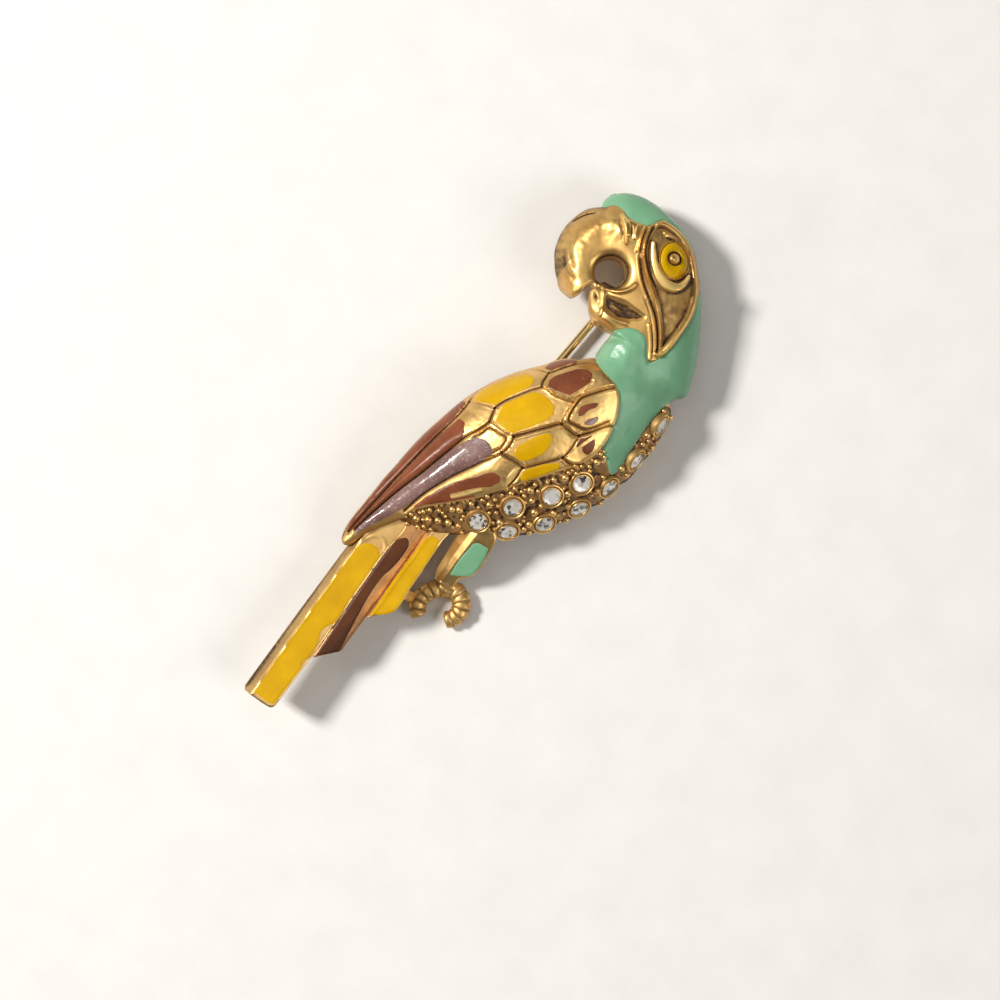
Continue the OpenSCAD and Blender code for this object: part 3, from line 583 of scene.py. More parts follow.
# The body's sections. columns: y, left x, right x, ridge x, ridge z, left edge z, right edge z,
# left foot z, right foot z
BIRD = np.array([
    (35.05, -5.3, -3.7, -4.5, 4.9, 4.5, 4.5, 3.2, 3.2),
    (34.7, -7, -1, -3.6, 6.2, 4.5, 4.5, 3.2, 3.2),
    (33.8, -8.6, 1.3, -2.8, 7.4, 4.5, 4.5, 3.2, 3.2),
    (32.2, -9.6, 3.2, -1.8, 8.4, 4.5, 4.5, 3.2, 3.2),
    (31, -9.9, 4.3, -1, 8.8, 4.5, 4.5, 3.2, 3.2),
    (30, -10.6, 5.3, -0.6, 9, 4.5, 4.5, 3.2, 3.2),
    (29, -11, 6.1, -0.2, 9.1, 4.5, 4.5, 3.2, 3.2),
    (27, -11.3, 7.5, 0.4, 9.2, 4.5, 4.5, 3.2, 3.2),
    (25.2, -11, 8.5, 1.2, 9.2, 4.5, 4.5, 3.2, 3.2),
    (23.4, -10, 9.45, 2.1, 9.1, 4.5, 4.5, 3.2, 3.2),
    (22, -8.6, 10.05, 2.6, 9, 4.5, 4.5, 3.2, 3.2),
    (21.1, -7.2, 10.45, 2.9, 8.9, 4.5, 4.5, 3.2, 3.2),
    (20.6, -3.2, 10.6, 3.1, 8.9, 4.5, 4.4, 3.2, 3.2),
    (20.3, -0.1, 10.65, 3.3, 8.9, 4.5, 4.3, 3.2, 3.1),
    (19.2, -0.2, 10, 3.5, 9, 4.5, 4.2, 3.2, 2.6),
    (18.1, -0.1, 10.1, 3.5, 9.2, 4.5, 4.1, 3.2, 1.8),
    (17, -0.5, 10.85, 3.2, 9.5, 4.5, 4, 3.2, 1),
    (16.2, -1.3, 11.05, 3, 9.7, 4.5, 3.9, 3.2, 0.5),
    (15.2, -2.8, 11.2, 2.7, 9.9, 4.5, 3.8, 3.2, 0.1),
    (13.5, -4, 11.35, 2.2, 10.1, 4.5, 3.7, 3.2, 0),
    (11.4, -5.7, 11.25, 1.6, 10.3, 4.5, 3.7, 3.2, 0),
    (9, -7.2, 11.15, 1, 10.4, 4.5, 3.7, 3.2, 0),
    (7.8, -7.8, 10.6, 0.7, 10.4, 4.5, 3.7, 3.2, 0),
    (5.8, -8.6, 10.35, 0.2, 10.35, 4.5, 3.7, 3.2, 0),
    (3.8, -9.2, 9.5, -0.5, 10.2, 4.5, 3.8, 3.2, 0.3),
    (0.5, -9.9, 7.8, -1.5, 9.7, 4.5, 4, 3.2, 1.6),
    (-1.5, -10.2, 6.6, -2.3, 9.3, 4.6, 4.2, 3.2, 2.3),
    (-3.5, -10.4, 4.8, -3.3, 8.8, 4.7, 4.4, 3.2, 2.8),
    (-5.5, -10.5, 2.8, -4.3, 8.2, 4.8, 4.5, 3.2, 3.1),
    (-7, -10.65, 0.1, -5.3, 7.6, 4.9, 4.7, 3.2, 3.2),
    (-9, -10.7, -3.2, -6.8, 6.9, 5, 4.9, 3.3, 3.3),
    (-9.8, -10.75, -5.9, -8.2, 6.6, 5, 5, 3.4, 3.4),
    (-12.5, -10.85, -8.1, -9.4, 6.2, 5, 5, 3.7, 3.7),
    (-15.7, -10.2, -9.4, -9.8, 5.4, 5, 5, 4.1, 4.1),
])[::-1]


def column(k, unit):
    line = smooth(np.stack([BIRD[:, 0] * GRID[1], BIRD[:, k] * unit], 1), step=0.25)
    return lambda y: np.interp(y, line[:, 0], line[:, 1])


left_x, right_x, ridge_x = (column(k, GRID[0]) for k in (1, 2, 3))
ridge_z, left_z, right_z, left_foot, right_foot = (column(k, GZ) for k in range(4, 9))


def dome(s, p):
    return (1 - (1 - np.clip(s, 0, 1)) ** p) ** (1 / p)


def body_z(x, y):
    m, r = ridge_x(y), ridge_z(y)
    west = left_z(y) + (r - left_z(y)) * dome((x - left_x(y)) / (m - left_x(y)), 2.1)
    east = right_z(y) + (r - right_z(y)) * dome((right_x(y) - x) / (right_x(y) - m), 1.55)
    return np.where(x < m, west, east)


def foot_z(x, y):
    s = np.clip((x - left_x(y)) / (right_x(y) - left_x(y)), 0, 1)
    return left_foot(y) * (1 - s) + right_foot(y) * s


def level(x, y):
    """The surface's height at a single point."""
    return float(body_z(np.array(float(x)), np.array(float(y))))


def upright(w):
    """A turn whose third column points along w."""
    w = w / np.linalg.norm(w)
    u = np.cross((0, 1.0, 0), w)
    u /= np.linalg.norm(u)
    return np.stack([u, np.cross(w, u), w], 1)


def normal(x, y, soft=0.5):
    """The surface's direction at a point, as a turn whose third column is its normal."""
    slope = [(level(x + a, y + b) - level(x - a, y - b)) / (2 * soft)
             for a, b in ((soft, 0), (0, soft))]
    return upright(np.array([-slope[0], -slope[1], 1.0]))


# Outlines

CAP_TOP = [
    (-9.6, 32.2), (-9.3, 33.1), (-8.6, 33.8), (-7.8, 34.3), (-7, 34.7), (-6, 34.98), (-5, 35.05),
    (-4, 35.05), (-3, 34.98), (-2, 34.88), (-1, 34.68), (0, 34.4), (1, 34), (2, 33.3),
    (3, 32.4), (4, 31.3), (5, 30.3), (6, 29.1), (7, 27.7), (8, 26.1), (9, 24.4), (10, 22.2),
    (10.5, 20.9),
]
NAPE = [(10.62, 20.3), (10.5, 19.8), (10, 19.2), (9.65, 18.5)]
BELLY = [
    (10.1, 18.1), (10.6, 17.5), (11, 16.5), (11.15, 15), (11.3, 13.5), (11.3, 12.5), (11.2, 11),
    (11.2, 9.5), (11.05, 8.6), (10.5, 7.5), (10.4, 6), (10.1, 4.8), (9.3, 3.5), (8.8, 2),
    (8.2, 1), (7.6, 0), (7.1, -1), (6.5, -1.7), (6, -2.5), (5, -3.4), (4.4, -4.2), (3.6, -4.9),
    (3, -5.2), (2.4, -6.1), (1, -6.5), (0.4, -6.8), (-0.5, -7.4), (-1.4, -8), (-2.5, -8.5),
    (-3.5, -9.2), (-4.5, -9.7), (-6.2, -9.8),
]
WING_LEFT = [
    (0, 17.25), (-0.5, 17), (-1.3, 16.2), (-2, 15.8), (-2.8, 15.2), (-3.5, 14.3), (-4, 13.5),
    (-5, 12.3), (-5.7, 11.4), (-6.5, 10.2), (-7.2, 9), (-7.8, 7.8), (-8.2, 6.9), (-8.6, 5.8),
    (-8.9, 4.8), (-9.2, 3.8), (-9.5, 2.3), (-9.9, 0.5), (-10.2, -1.5), (-10.4, -3.5),
    (-10.5, -5.5), (-10.65, -7), (-10.7, -9), (-10.75, -11), (-10.85, -12.5), (-10.8, -13.8),
    (-10.6, -14.8), (-10.3, -15.4), (-9.85, -15.65), (-9.4, -15.5), (-9, -15),
]
WING_RIGHT = [
    (-8.8, -14), (-8.4, -13), (-7.8, -12), (-7.2, -11), (-6.8, -10.3), (-6.3, -9.5), (-5.8, -8),
    (-5, -7), (-4, -5.9), (-3, -4.8), (-2, -3.8), (-1, -2.7), (0, -1.2), (0.8, -0.2),
    (1.5, 0.8), (2.2, 1.9), (3, 3), (3.9, 4.3), (4.6, 5.3), (5.3, 6.3), (5.9, 7.3), (6.3, 8.2),
    (6.5, 9.2), (6.52, 10.5), (6.4, 11.5), (6.15, 12.5), (5.8, 13.5), (5.2, 14.6), (4.5, 15.5),
    (3.8, 16), (3, 16.25), (2, 16.45), (1, 16.7), (0.5, 17),
]
BEAK = [
    (-9, 31.2), (-9.6, 30.85), (-10.1, 30.5), (-10.6, 29.95), (-11, 29), (-11.2, 28), (-11.3, 27),
    (-11.2, 26), (-11, 25.2), (-10.6, 24.2), (-10, 23.4), (-9.3, 22.6), (-8.6, 22),
    (-7.9, 21.4), (-7, 21.1),
]
BEAK_TIP = [(-6.2, 21.1), (-5.9, 21.3), (-5.6, 22), (-5.5, 22.8)]
BRIDGE = [(-5.25, 23.5), (-5, 23.55)]
JAW = [
    (-4.7, 23.45), (-4.65, 22.6), (-4.4, 22), (-4, 21.5), (-3.4, 20.9), (-2.8, 20.55), (-2, 20.45),
    (-1, 20.5), (-0.3, 20.6),
]
THROAT = [(-0.05, 20.6), (-0.15, 19), (-0.12, 17.9)]
ALMOND_RIGHT = [
    (5.1, 20.2), (5.5, 20.9), (5.95, 22), (6.1, 23), (6.15, 24), (6.1, 25), (6.05, 26), (5.95, 27),
    (5.65, 28.2), (5.25, 29), (4.85, 30), (4.25, 31), (3.45, 31.75), (2.55, 32.55),
    (1.55, 33.25), (0.5, 33.75), (-0.5, 34), (-1.5, 34.05), (-2.6, 33.9),
]
CAP_LOW = [
    (-3.05, 33.8), (-3.2, 33.4), (-3.5, 32.7), (-4, 32), (-4.6, 31.7), (-5.5, 31.42), (-6.5, 31.42),
    (-7.2, 31.75), (-8.2, 31.8), (-8.3, 31.2),
]
CAP_LOBE = [(-8.7, 30.55), (-9.1, 30.5), (-9.4, 31.2)]

face_line = outline(
    BEAK, BEAK_TIP, BRIDGE, JAW,
    [(0.1, 20.7), (0.6, 21.2), (1.1, 21.7), (1.7, 22), (2.3, 22.1), (2.9, 22.05), (3.3, 21.8),
        (3.9, 21), (4.5, 20.4)],
    [(x + 0.12, y + 0.05) for x, y in ALMOND_RIGHT],
    [(x, y + 0.25) for x, y in CAP_LOW[:-1]],
)
silhouette = inset(outline(
    CAP_TOP, NAPE, BELLY, [(-6.6, -9.9), (-6.8, -10.3), (-7.2, -11)],
    [(-7.8, -12), (-8.4, -13), (-8.8, -14)], WING_LEFT[::-1], THROAT[::-1], JAW[::-1],
    BRIDGE[::-1], BEAK_TIP[::-1], BEAK[::-1], step=0.3), 0.07)
hole_line = outline(
    [(HOLE[0] / GRID[0] + HOLE_R * math.cos(math.radians(a)),
      HOLE[1] / GRID[1] + HOLE_R * math.sin(math.radians(a))) for a in range(-35, 236, 15)],
    [(-5.0, 24.12), (-4.4, 24.15)], [(-4.1, 24.55), (-3.4, 24.6), (-2.9, 24.7)])


# The back

def shell_top(x, y, d):
    return body_z(x, y) - 0.45 - 0.9 * ease(nearest(face_line, x, y)[0] / 0.4)


def shell_low(x, y, d):
    """The hollow back, which stays solid round the beak's hole, the hinge and the catch."""
    rim = np.maximum(foot_z(x, y), 0.02)
    keep = np.hypot(x - HOLE[0], y - HOLE[1]) - HOLE_R - 1.0
    for p, w, l in ((HINGE, 2.2, 2.0), (CATCH, 2.0, 1.8)):
        keep = np.minimum(keep, np.maximum(np.abs(x - p[0]) - w, np.abs(y - p[1]) - l))
    open_ = ease((d - 1.35) / 0.5) * ease(keep / 0.4)
    roof = body_z(x, y) - WALL
    return rim + (roof - rim) * open_


relief("shell", silhouette, shell_top, bright_gold, 0.16, [hole_line],
       low=shell_low)
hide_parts("casting")


# The face

# Raised lines of the face. columns of a row: half width, height, points
FACE_RIDGES = [
    (0.2, 0.3, [(-3.65, 32.6), (-3.6, 31.8), (-3.35, 30.85), (-2.85, 29.75), (-2.25, 28.95),
        (-1.35, 28.05), (-0.4, 27.25), (0.6, 26.6), (1.6, 26), (2.6, 25.15), (3.5, 24.25),
        (4.35, 23.2), (5.1, 22.1), (5.4, 21.5)]),
    (0.24, 0.24, [(-2.2, 28.9), (-1.3, 28.05), (-0.3, 27.3), (0.7, 26.7), (1.5, 26.2)]),
    (0.45, 0.36, [(5.3, 21.6), (5.52, 22.4), (5.62, 23.3), (5.65, 24.5), (5.65, 26), (5.5, 27.3),
        (5.2, 28.5), (4.75, 29.6), (4.2, 30.5), (3.5, 31.3), (2.8, 32.1), (1.9, 32.8), (0.9, 33.4),
        (0, 33.7), (-1, 33.85), (-2, 33.75), (-2.8, 33.5), (-3.3, 33)]),
    (0.36, 0.26, [(-6.8, 31.35), (-6.1, 31.05), (-5.5, 30.55), (-5.05, 30.05)]),
    (0.26, 0.34, [(-6.5, 31.1), (-5.7, 30.3), (-5.1, 29.6), (-4.7, 29.2)]),
    (0.3, 0.2, [(-4.75, 31.4), (-4.5, 30.8), (-4.25, 30.2)]),
    (0.2, 0.2, [(-4.15, 31.9), (-3.92, 30.8), (-3.6, 29.9), (-3.3, 29.2)]),
    (0.32, 0.36, [(-4.3, 23.9), (-3.6, 24.05), (-2.9, 24.15), (-2.3, 24.4), (-1.75, 24.85),
        (-1.35, 25.45), (-1.2, 26.1)]),
    (0.26, 0.12, [(-3.9, 24), (-3.35, 23.3), (-2.9, 22.6), (-2.55, 21.9), (-2.35, 21.2)]),
    (0.3, 0.1, [(-2.5, 21.85), (-1.3, 21.75), (-0.1, 21.9), (0.6, 22.15)]),
    (0.3, 0.2, [(-2, 32.8), (-1, 33), (0.3, 32.95), (1.5, 32.45)]),
    (0.22, 0.16, [(2.6, 23.5), (3.4, 22.7), (4.2, 21.7), (4.95, 20.6)]),
]
# Cut lines of the face. columns of a row: half width, depth, points
FACE_GROOVES = [
    (0.11, 0.3, [(-2.7, 28.9), (-2.2, 28.35), (-1.4, 27.5), (-0.5, 26.75), (0.4, 26.15),
        (1.2, 25.65)]),
    (0.15, 0.34, [(0.9, 25.85), (1.6, 25.4), (2.2, 25), (2.8, 24.55), (3.3, 24.05), (4, 23.3),
        (4.6, 22.55), (5, 21.95), (5.35, 21.3)]),
    (0.1, 0.22, [(-3.4, 32.8), (-3.28, 31.7), (-2.98, 30.7), (-2.45, 29.7), (-1.75, 28.85),
        (-1.05, 28.25), (-0.3, 27.75), (0.6, 27.3)]),
    (0.1, 0.14, [(-3.88, 31.9), (-3.65, 30.8), (-3.2, 29.8), (-2.7, 29)]),
    (0.12, 0.1, [(-6.7, 30.7), (-5.9, 30), (-5.3, 29.35)]),
    (0.12, 0.12, [(-5.5, 31.3), (-5, 30.55), (-4.6, 29.85)]),
    (0.1, 0.12, [(0.4, 25.6), (1.5, 24.9), (2.5, 24.05), (3.4, 23.05), (4.3, 21.95),
        (4.95, 20.95)]),
    (0.12, 0.3, [(-1.85, 32.2), (-1.2, 32.5), (-0.3, 32.68), (0.7, 32.66)]),
    (0.11, 0.34, [(-11, 27.6), (-10.75, 28.3), (-10.35, 29.05), (-9.85, 29.65), (-9.3, 30.15)]),
    (0.3, 0.16, [(-10.1, 25.1), (-9.5, 24.4), (-8.7, 23.5), (-8, 23), (-7.2, 22.8),
        (-6.6, 22.9)]),
    (0.25, 0.12, [(-9.9, 26.2), (-9.2, 25), (-8.3, 24.1), (-7.3, 23.6)]),
    (0.12, 0.2, [(-4.3, 22.9), (-3.9, 22.6), (-3.5, 22.3)]),
]
# Spots of the face painted bright, as painted highlights. columns of a row: half width, amount,
# points
FACE_SHINE = [
    (0.3, 0.55, [(-6.6, 31.2), (-5.7, 30.3), (-5, 29.5)]),
    (0.25, 0.4, [(5.35, 22.2), (5.6, 24), (5.6, 26), (5.2, 28.2)]),
    (0.3, 0.3, [(-2, 20.95), (-1.2, 21.1)]),
    (0.5, 0.35, [(-3.8, 30.9), (-3.3, 30)]),
    (0.25, 0.5, [(2.2, 25.5), (3.4, 24.4), (4.4, 23.2)]),
]
# The upper lid's middle line. columns: x, y, half width
LID = path([
    (-2.4, 30.95, 0.3), (-1.8, 30.15, 0.42), (-1.22, 29.5, 0.48), (-0.4, 28.85, 0.58),
    (0.54, 28.35, 0.7), (1.4, 28.2, 0.75), (2.2, 28.4, 0.68), (2.78, 28.95, 0.5),
    (2.98, 29.7, 0.4), (2.9, 30.45, 0.25),
])
BEAK_RIDGE = path([
    (-5.8, 30.7), (-7.5, 30.1), (-8.7, 28.9), (-9.15, 27.2), (-8.9, 25.5), (-8.2, 24),
    (-7.3, 22.8), (-6.4, 21.8),
], 0.3)
MOUTH = outline([
    (-3.05, 23.45), (-2.5, 22.3), (-1.5, 22.12), (-0.5, 22.15), (0.5, 22.55), (1.1, 23.1),
    (1.5, 23.45), (1.7, 23.9), (1.1, 24), (0, 24), (-0.9, 24), (-1.6, 23.8),
    (-2.4, 23.6),
])
ALMOND = outline(
    [(-3.1, 33.2), (-3.25, 32.3), (-3.15, 31.3), (-2.7, 30.1), (-2, 29.1), (-1.1, 28.2), (0, 27.35),
        (1, 26.75), (2, 26), (3, 25.05), (4, 23.95), (5, 22.6)],
    [(5.3, 22.2), (5.45, 23), (5.48, 25), (5.3, 27), (4.95, 28.4), (4.45, 29.5), (3.9, 30.45),
        (3.1, 31.35), (2.2, 32.15), (1.2, 32.9), (0, 33.35), (-1.2, 33.5), (-2.4, 33.4)],
)


lid_z = level(0.0, 28.6)


def engraved(x, y, rows, fade=0.0, lip=0.22):
    """How deep the cut lines are at each point, less the lips beside them, and how dark they are
    painted: antiquing and painted shade in the lines.
    """
    deep, dark = 0, 0
    for half, depth, points in rows:
        line = path(points)
        dist, foot = away(line, x, y)
        dist = dist / half
        w = bell(dist)
        if fade:
            ends = [np.hypot(foot[..., 0] - q[0], foot[..., 1] - q[1]) for q in line[[0, -1], :2]]
            w = w * (0.15 + 0.85 * ease(np.minimum(*ends) / fade))
        deep = deep + depth * (w - lip * bell((dist - 2.5) / 0.9))
        dark = np.maximum(dark, min(0.7, 2.1 * depth) * w ** 1.5)
    return deep, dark


# Painted highlights along the rows' lines.
def shine_at(x, y, rows):
    return sum(amount * bell(away(path(points), x, y)[0] / size) for size, amount, points in rows)


def eye_ring(x, y):
    """How far out a point lies in the eye's oval, whose enamel ends at 1.9."""
    u, v = x - IRIS[0], y - IRIS[1]
    c, s = math.cos(LEAN), math.sin(LEAN)
    return 1.9 * np.hypot((c * u + s * v) / IRIS_R[0], (c * v - s * u) / IRIS_R[1])


def under_lid(x, y, z):
    """The surface z with the upper lid, a flat band, laid over it, and where the lid is."""
    dist, foot = away(LID, x, y)
    k = np.hypot(LID[:, 0] - foot[..., :1], LID[:, 1] - foot[..., 1:]).argmin(-1)
    w = np.minimum(dist / np.maximum(LID[k, 2], 0.1), 1)
    fx, fy = foot[..., 0], foot[..., 1]
    band = 0.35 * body_z(fx, fy) + 0.65 * lid_z + 0.1 + 0.2 * (x - fx) - 0.1 * w * w
    lid = ease((1 - w) / 0.45)
    return z * (1 - lid) + band * lid, lid


def face_z(x, y, d):
    z = body_z(x, y) - 0.2 * (1 - ease(d / 0.25))
    # the beak with its hole, and the mouth with its tongue
    crest = bell(away(BEAK_RIDGE, x, y)[0] / 1.75)
    z = z + crest * (0.75 + 0.07 * grain(x, y, 1.0, 21) + 0.03 * grain(x, y, 0.45, 22))
    r = np.hypot(x - HOLE[0], y - HOLE[1])
    mouth = nearest(MOUTH, x, y)[0]
    tongue = spot(x, y, (-1.25, 22.85), (0.75, 0.2))
    z = z - 0.85 * np.exp(-np.maximum(r - HOLE_R, 0) / 0.32) - 0.6 * ease(mouth + 0.3)
    z = z + 0.4 * tongue + 0.45 * spot(x, y, (-1.7, 21.3), (1.4, 0.65))
    # the almond round the eye with its scratched cheek, the raised lines and the lid
    inner = nearest(ALMOND, x, y)[0]
    streak = grain(x * 0.9 + y * 0.35, y * 0.3 - x * 0.25, 0.36, 5)
    cheek = ease(inner / 0.5) * ease((28.0 - y) / 0.8)
    z = z - 0.28 * ease(inner / 0.3) + cheek * (0.045 * streak + 0.06 * grain(x, y, 0.9, 8))
    for half, high, points in FACE_RIDGES:
        w = np.minimum(away(path(points), x, y)[0] / half, 1)
        z = z + high * (1 - w * w) ** 1.3
    z, lid = under_lid(x, y, z)
    # the cut lines, the eye's rims and its boss
    deep, dark = engraved(x, y, FACE_GROOVES, 0.6, 0.1)
    q = eye_ring(x, y)
    b = np.hypot(x - BOSS[0], y - BOSS[1])
    z = z - deep - 0.28 * (1 - ease((q - 1.7) / 0.3)) - 0.1 * bell((q - 2.08) / 0.09)
    z = z + 0.12 * bell((q - 1.95) / 0.1) - 0.16 * bell((b - 0.8) / 0.15)
    z = z + 0.7 * np.sqrt(np.clip(1 - (b / BOSS_R) ** 2, 0, 1))
    # painted shade: black in the mouth, a dark ring in the groove round the eye and round its boss,
    # and dark down the hole, most on its upper right side
    gloom = ease((mouth + 0.12 * grain(x, y, 0.4, 26)) / 0.35) * (1 - 0.4 * tongue)
    dark = np.maximum(dark, (0.65 + 0.35 * spot(x, y, (0.3, 23.1), 1.6)) * gloom)
    dark = np.maximum(dark * (1 - lid), 0.25 * bell((q - 2.08) / 0.1))
    funnel = (1 - ease((r - HOLE_R - 0.1) / 0.35)) * ease((y - HOLE[1] + x - HOLE[0] + 3) / 2)
    dark = np.maximum(dark, np.maximum(0.4 * bell((b - 0.85) / 0.2), 0.6 * funnel))
    # darker brown patches on the beak's edge, under its tip, on the jaw, the brow and the cheek,
    # and random blotches all over
    patches = np.clip(0.5 + 0.5 * grain(x, y, 0.55, 23) + 0.35 * grain(x, y, 0.25, 24), 0, 1)
    darkening = (0.3 + 0.14 * patches) * bell(d) * ease((-7.6 - x) / 1.4)
    darkening = darkening + (0.24 + 0.2 * patches) * spot(x, y, (-8.8, 23.9), 1.6)
    darkening = darkening + 0.42 * spot(x, y, (-3.7, 22.4), 0.9) + 0.3 * spot(x, y, (-0.3, 32.9), 0.9)
    darkening = darkening + cheek * (0.2 + 0.14 * streak + 0.14 * patches) + 0.12 * patches + 0.08
    # The patches stay off the lid and thin out on the beak's crest; the painted shade above is
    # added, and painted shade darkens the piece's edge.
    darkening = dark + darkening * (1 - lid) * (1 - 0.6 * crest * (x > -8.6)) + 0.12 * (1 - ease(d / 0.4))
    # Painted highlights on the lid's band and on the listed spots.
    shine_and_wear = 0.55 * lid * ease((q - 2.1) / 0.15) + shine_at(x, y, FACE_SHINE)
    return z, darkening - shine_and_wear * (1 - np.clip(2 * dark, 0, 1))


relief("face", face_line, face_z, bright_gold, 0.075, [hole_line],
       low=lambda x, y, d: body_z(x, y) - 1.42, cavity=0.2, reach=0.3)


# Green enamel

green_line = outline(
    CAP_TOP, NAPE,
    [(9.6, 18.4), (9.3, 17.5), (9.2, 16.5), (9.1, 15), (9.2, 13), (9.35, 11), (9.5, 9)],
    [(9.3, 8.15), (8.7, 8.2), (8.2, 8.6), (7.5, 9.2)],
    [(6.7, 9.6), (6.3, 11), (5.8, 12.6), (5, 14.2), (4, 15.4), (2.4, 16), (0.8, 16.5)],
    [(0.1, 17.1), (-0.12, 17.9), (-0.17, 19), (-0.08, 20.3)],
    [(0, 20.9), (0.5, 21.4), (1, 21.9), (1.6, 22.22), (2.2, 22.32), (3, 22.25), (3.5, 21.95),
        (4, 21.3), (4.5, 20.7)],
    ALMOND_RIGHT, CAP_LOW, CAP_LOBE,
)


THROAT_SPOT = (1.6, 19.3)
throat_z = level(*THROAT_SPOT) + 0.78


def green_z(x, y, d):
    """The body's surface with a full throat, whose top is a flat facet, and a swollen breast."""
    z = body_z(x, y) + 0.05 - 0.16 * (1 - ease(d / 0.3))
    z = z + 0.75 * spot(x, y, (1.8, 19.4), (2.0, 2.5))
    u, v = x - THROAT_SPOT[0], y - THROAT_SPOT[1]
    flat = 1 - ease((np.hypot(u / 1.1, (v + 0.1) / 1.6) - 0.5) / 0.75)
    facet = throat_z + 0.38 * u + 0.1 * v + 0.016 * grain(x, y, 0.6, 9)
    z = z * (1 - flat) + facet * flat
    return z + 0.12 * spot(x, y, (5.5, 16.6), (1.0, 1.3)) + 0.025 * grain(x, y, 1.3, 3)


relief("head_enamel", green_line, green_z, green, 0.13,
       low=lambda x, y, d: body_z(x, y) - 0.75)
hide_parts("green_head_enamel")


# Eye

def iris_top(x, y, d):
    q = eye_ring(x, y)
    ring = 0.2 * bell((q - 1.28) / 0.4) + 0.07 * bell((q - 1.6) / 0.1)
    return body_z(x, y) - 0.42 + ring - 0.08 * (1 - ease(d / 0.15))


relief("iris_enamel", ellipse(IRIS, *IRIS_R, LEAN), iris_top, yellow, 0.08,
       [ellipse(BOSS, BOSS_R + 0.2, BOSS_R + 0.2, n=40)], drop=0.5)
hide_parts("eye_enamel")


# Wing

# Cut lines between the scales and feathers. columns of a row: half width, depth, points
WING_GROOVES = [
    (0.1, 0.24, [(-2.88, 12.85), (-1.95, 14.3), (-1.15, 15.35), (-0.4, 16.05), (0.5, 16.95)]),
    (0.1, 0.22, [(-5, 12.05), (-4.2, 12.4), (-3.5, 12.7), (-2.9, 12.9)]),
    (0.1, 0.26, [(-2.95, 12.85), (-2.9, 12.2), (-2.85, 11.6), (-2.7, 11.1), (-3.3, 10.25),
        (-4.1, 8.95), (-4.9, 7.6), (-5.25, 6.7), (-5.35, 6.25)]),
    (0.09, 0.2, [(-2.7, 11.1), (-2, 11.2), (-1.2, 11.15), (-0.3, 11.35), (0.5, 11.6),
        (1.1, 11.85)]),
    (0.08, 0.16, [(3.7, 16.1), (3, 15.4), (2.1, 14.2), (1.2, 12.85), (1.02, 12.2), (1.1, 11),
        (1.28, 9.8), (1.5, 9.2)]),
    (0.11, 0.32, [(3.8, 15.8), (3.35, 15.3), (2.5, 14.2), (1.55, 12.7), (1.45, 12), (1.5, 11),
        (1.65, 10.2), (1.95, 9.85), (2.7, 9.95), (3.5, 10.1), (4.05, 10.4), (4.7, 11.3),
        (5.4, 12.5)]),
    (0.14, 0.32, [(1.5, 9.15), (2.3, 9.1), (3.3, 9.1), (3.75, 9.3)]),
    (0.13, 0.32, [(3.75, 9.3), (4.4, 10.2), (5.1, 11.3), (5.7, 12.1), (6.3, 12.5)]),
    (0.15, 0.32, [(-1.85, 5), (-1.1, 5.95), (-0.3, 7), (0.5, 8), (1.2, 8.9), (1.5, 9.15)]),
    (0.1, 0.22, [(3.75, 9.3), (3.85, 8.4), (3.9, 7.4), (3.85, 6.8), (3.75, 6.35)]),
    (0.13, 0.3, [(3.75, 6.35), (4.3, 6.3), (4.9, 6.35), (5.6, 6.8)]),
    (0.12, 0.26, [(3.75, 6.35), (3, 5.35), (2.1, 4.2), (1.2, 3.1), (0.95, 2.85), (1, 1.6),
        (0.9, 0.4)]),
    (0.15, 0.3, [(-1.85, 2.75), (-1.2, 2.75), (-0.4, 2.85), (0.5, 2.9), (0.95, 2.85)]),
    (0.1, 0.26, [(-1.85, 5), (-1.7, 4.4), (-1.65, 3.6), (-1.85, 2.75), (-2.2, 2), (-2.9, 0.9),
        (-3.6, -0.4), (-4.4, -1.9), (-5.2, -3.7), (-5.9, -5.5), (-6.35, -7.2), (-6.6, -8.6)]),
    (0.09, 0.24, [(-5.3, 2.3), (-4.85, 3.3), (-4.6, 4.1), (-4, 4.25), (-3.2, 4.3), (-2.45, 4.35),
        (-2.28, 3.8), (-2.3, 3.1), (-2.6, 2.3)]),
    (0.12, 0.3, [(-5.35, 6.25), (-5.15, 5.5), (-4.95, 4.7), (-5.05, 4.2), (-5.5, 3), (-6.1, 1.7),
        (-6.5, 0), (-7, -2), (-7.5, -4), (-8.1, -6), (-8.65, -8), (-9.1, -10), (-9.5, -12),
        (-9.75, -13.5)]),
    (0.09, 0.16, [(-4.95, 4.75), (-4, 4.8), (-2.6, 4.85), (-1.85, 5)]),
    (0.09, 0.2, [(-8.05, 5.15), (-7.2, 5.55), (-6.3, 5.95), (-5.35, 6.25)]),
    (0.1, 0.26, [(-8.2, 7.3), (-8.12, 6.2), (-8.05, 5.15), (-8.02, 4.3), (-8.12, 3.2), (-8.4, 1.5),
        (-8.65, 0), (-8.95, -2), (-9.2, -4), (-9.45, -6), (-9.65, -8), (-9.9, -10.5), (-10.12, -13),
        (-10.2, -14.2)]),
    (0.09, 0.16, [(-8.1, 4.2), (-8.6, 4.15), (-9.1, 4.2)]),
    (0.1, 0.14, [(1.3, 14.9), (1.35, 14), (1, 12.6), (0.5, 11.9)]),
]


def wing_form(x, y, d):
    """The wing with its scales and feathers rounded, but without the cut lines."""
    cell = np.full(x.shape, 9.0)
    for half, depth, points in WING_GROOVES:
        if depth > 0.2:
            cell = np.minimum(cell, away(path(points), x, y)[0])
    long_ = ease((2.6 - y) / 2.5)
    swell = (0.1 * ease(cell / 0.4) * (1 - long_)
             + 0.42 * long_ * (1 - (1 - np.clip(cell / 1.1, 0, 1)) ** 2.2))
    return body_z(x, y) + WING_LIFT - 0.1 - 0.22 * long_ + swell - 0.3 * (1 - dome(d / 0.45, 2.0))


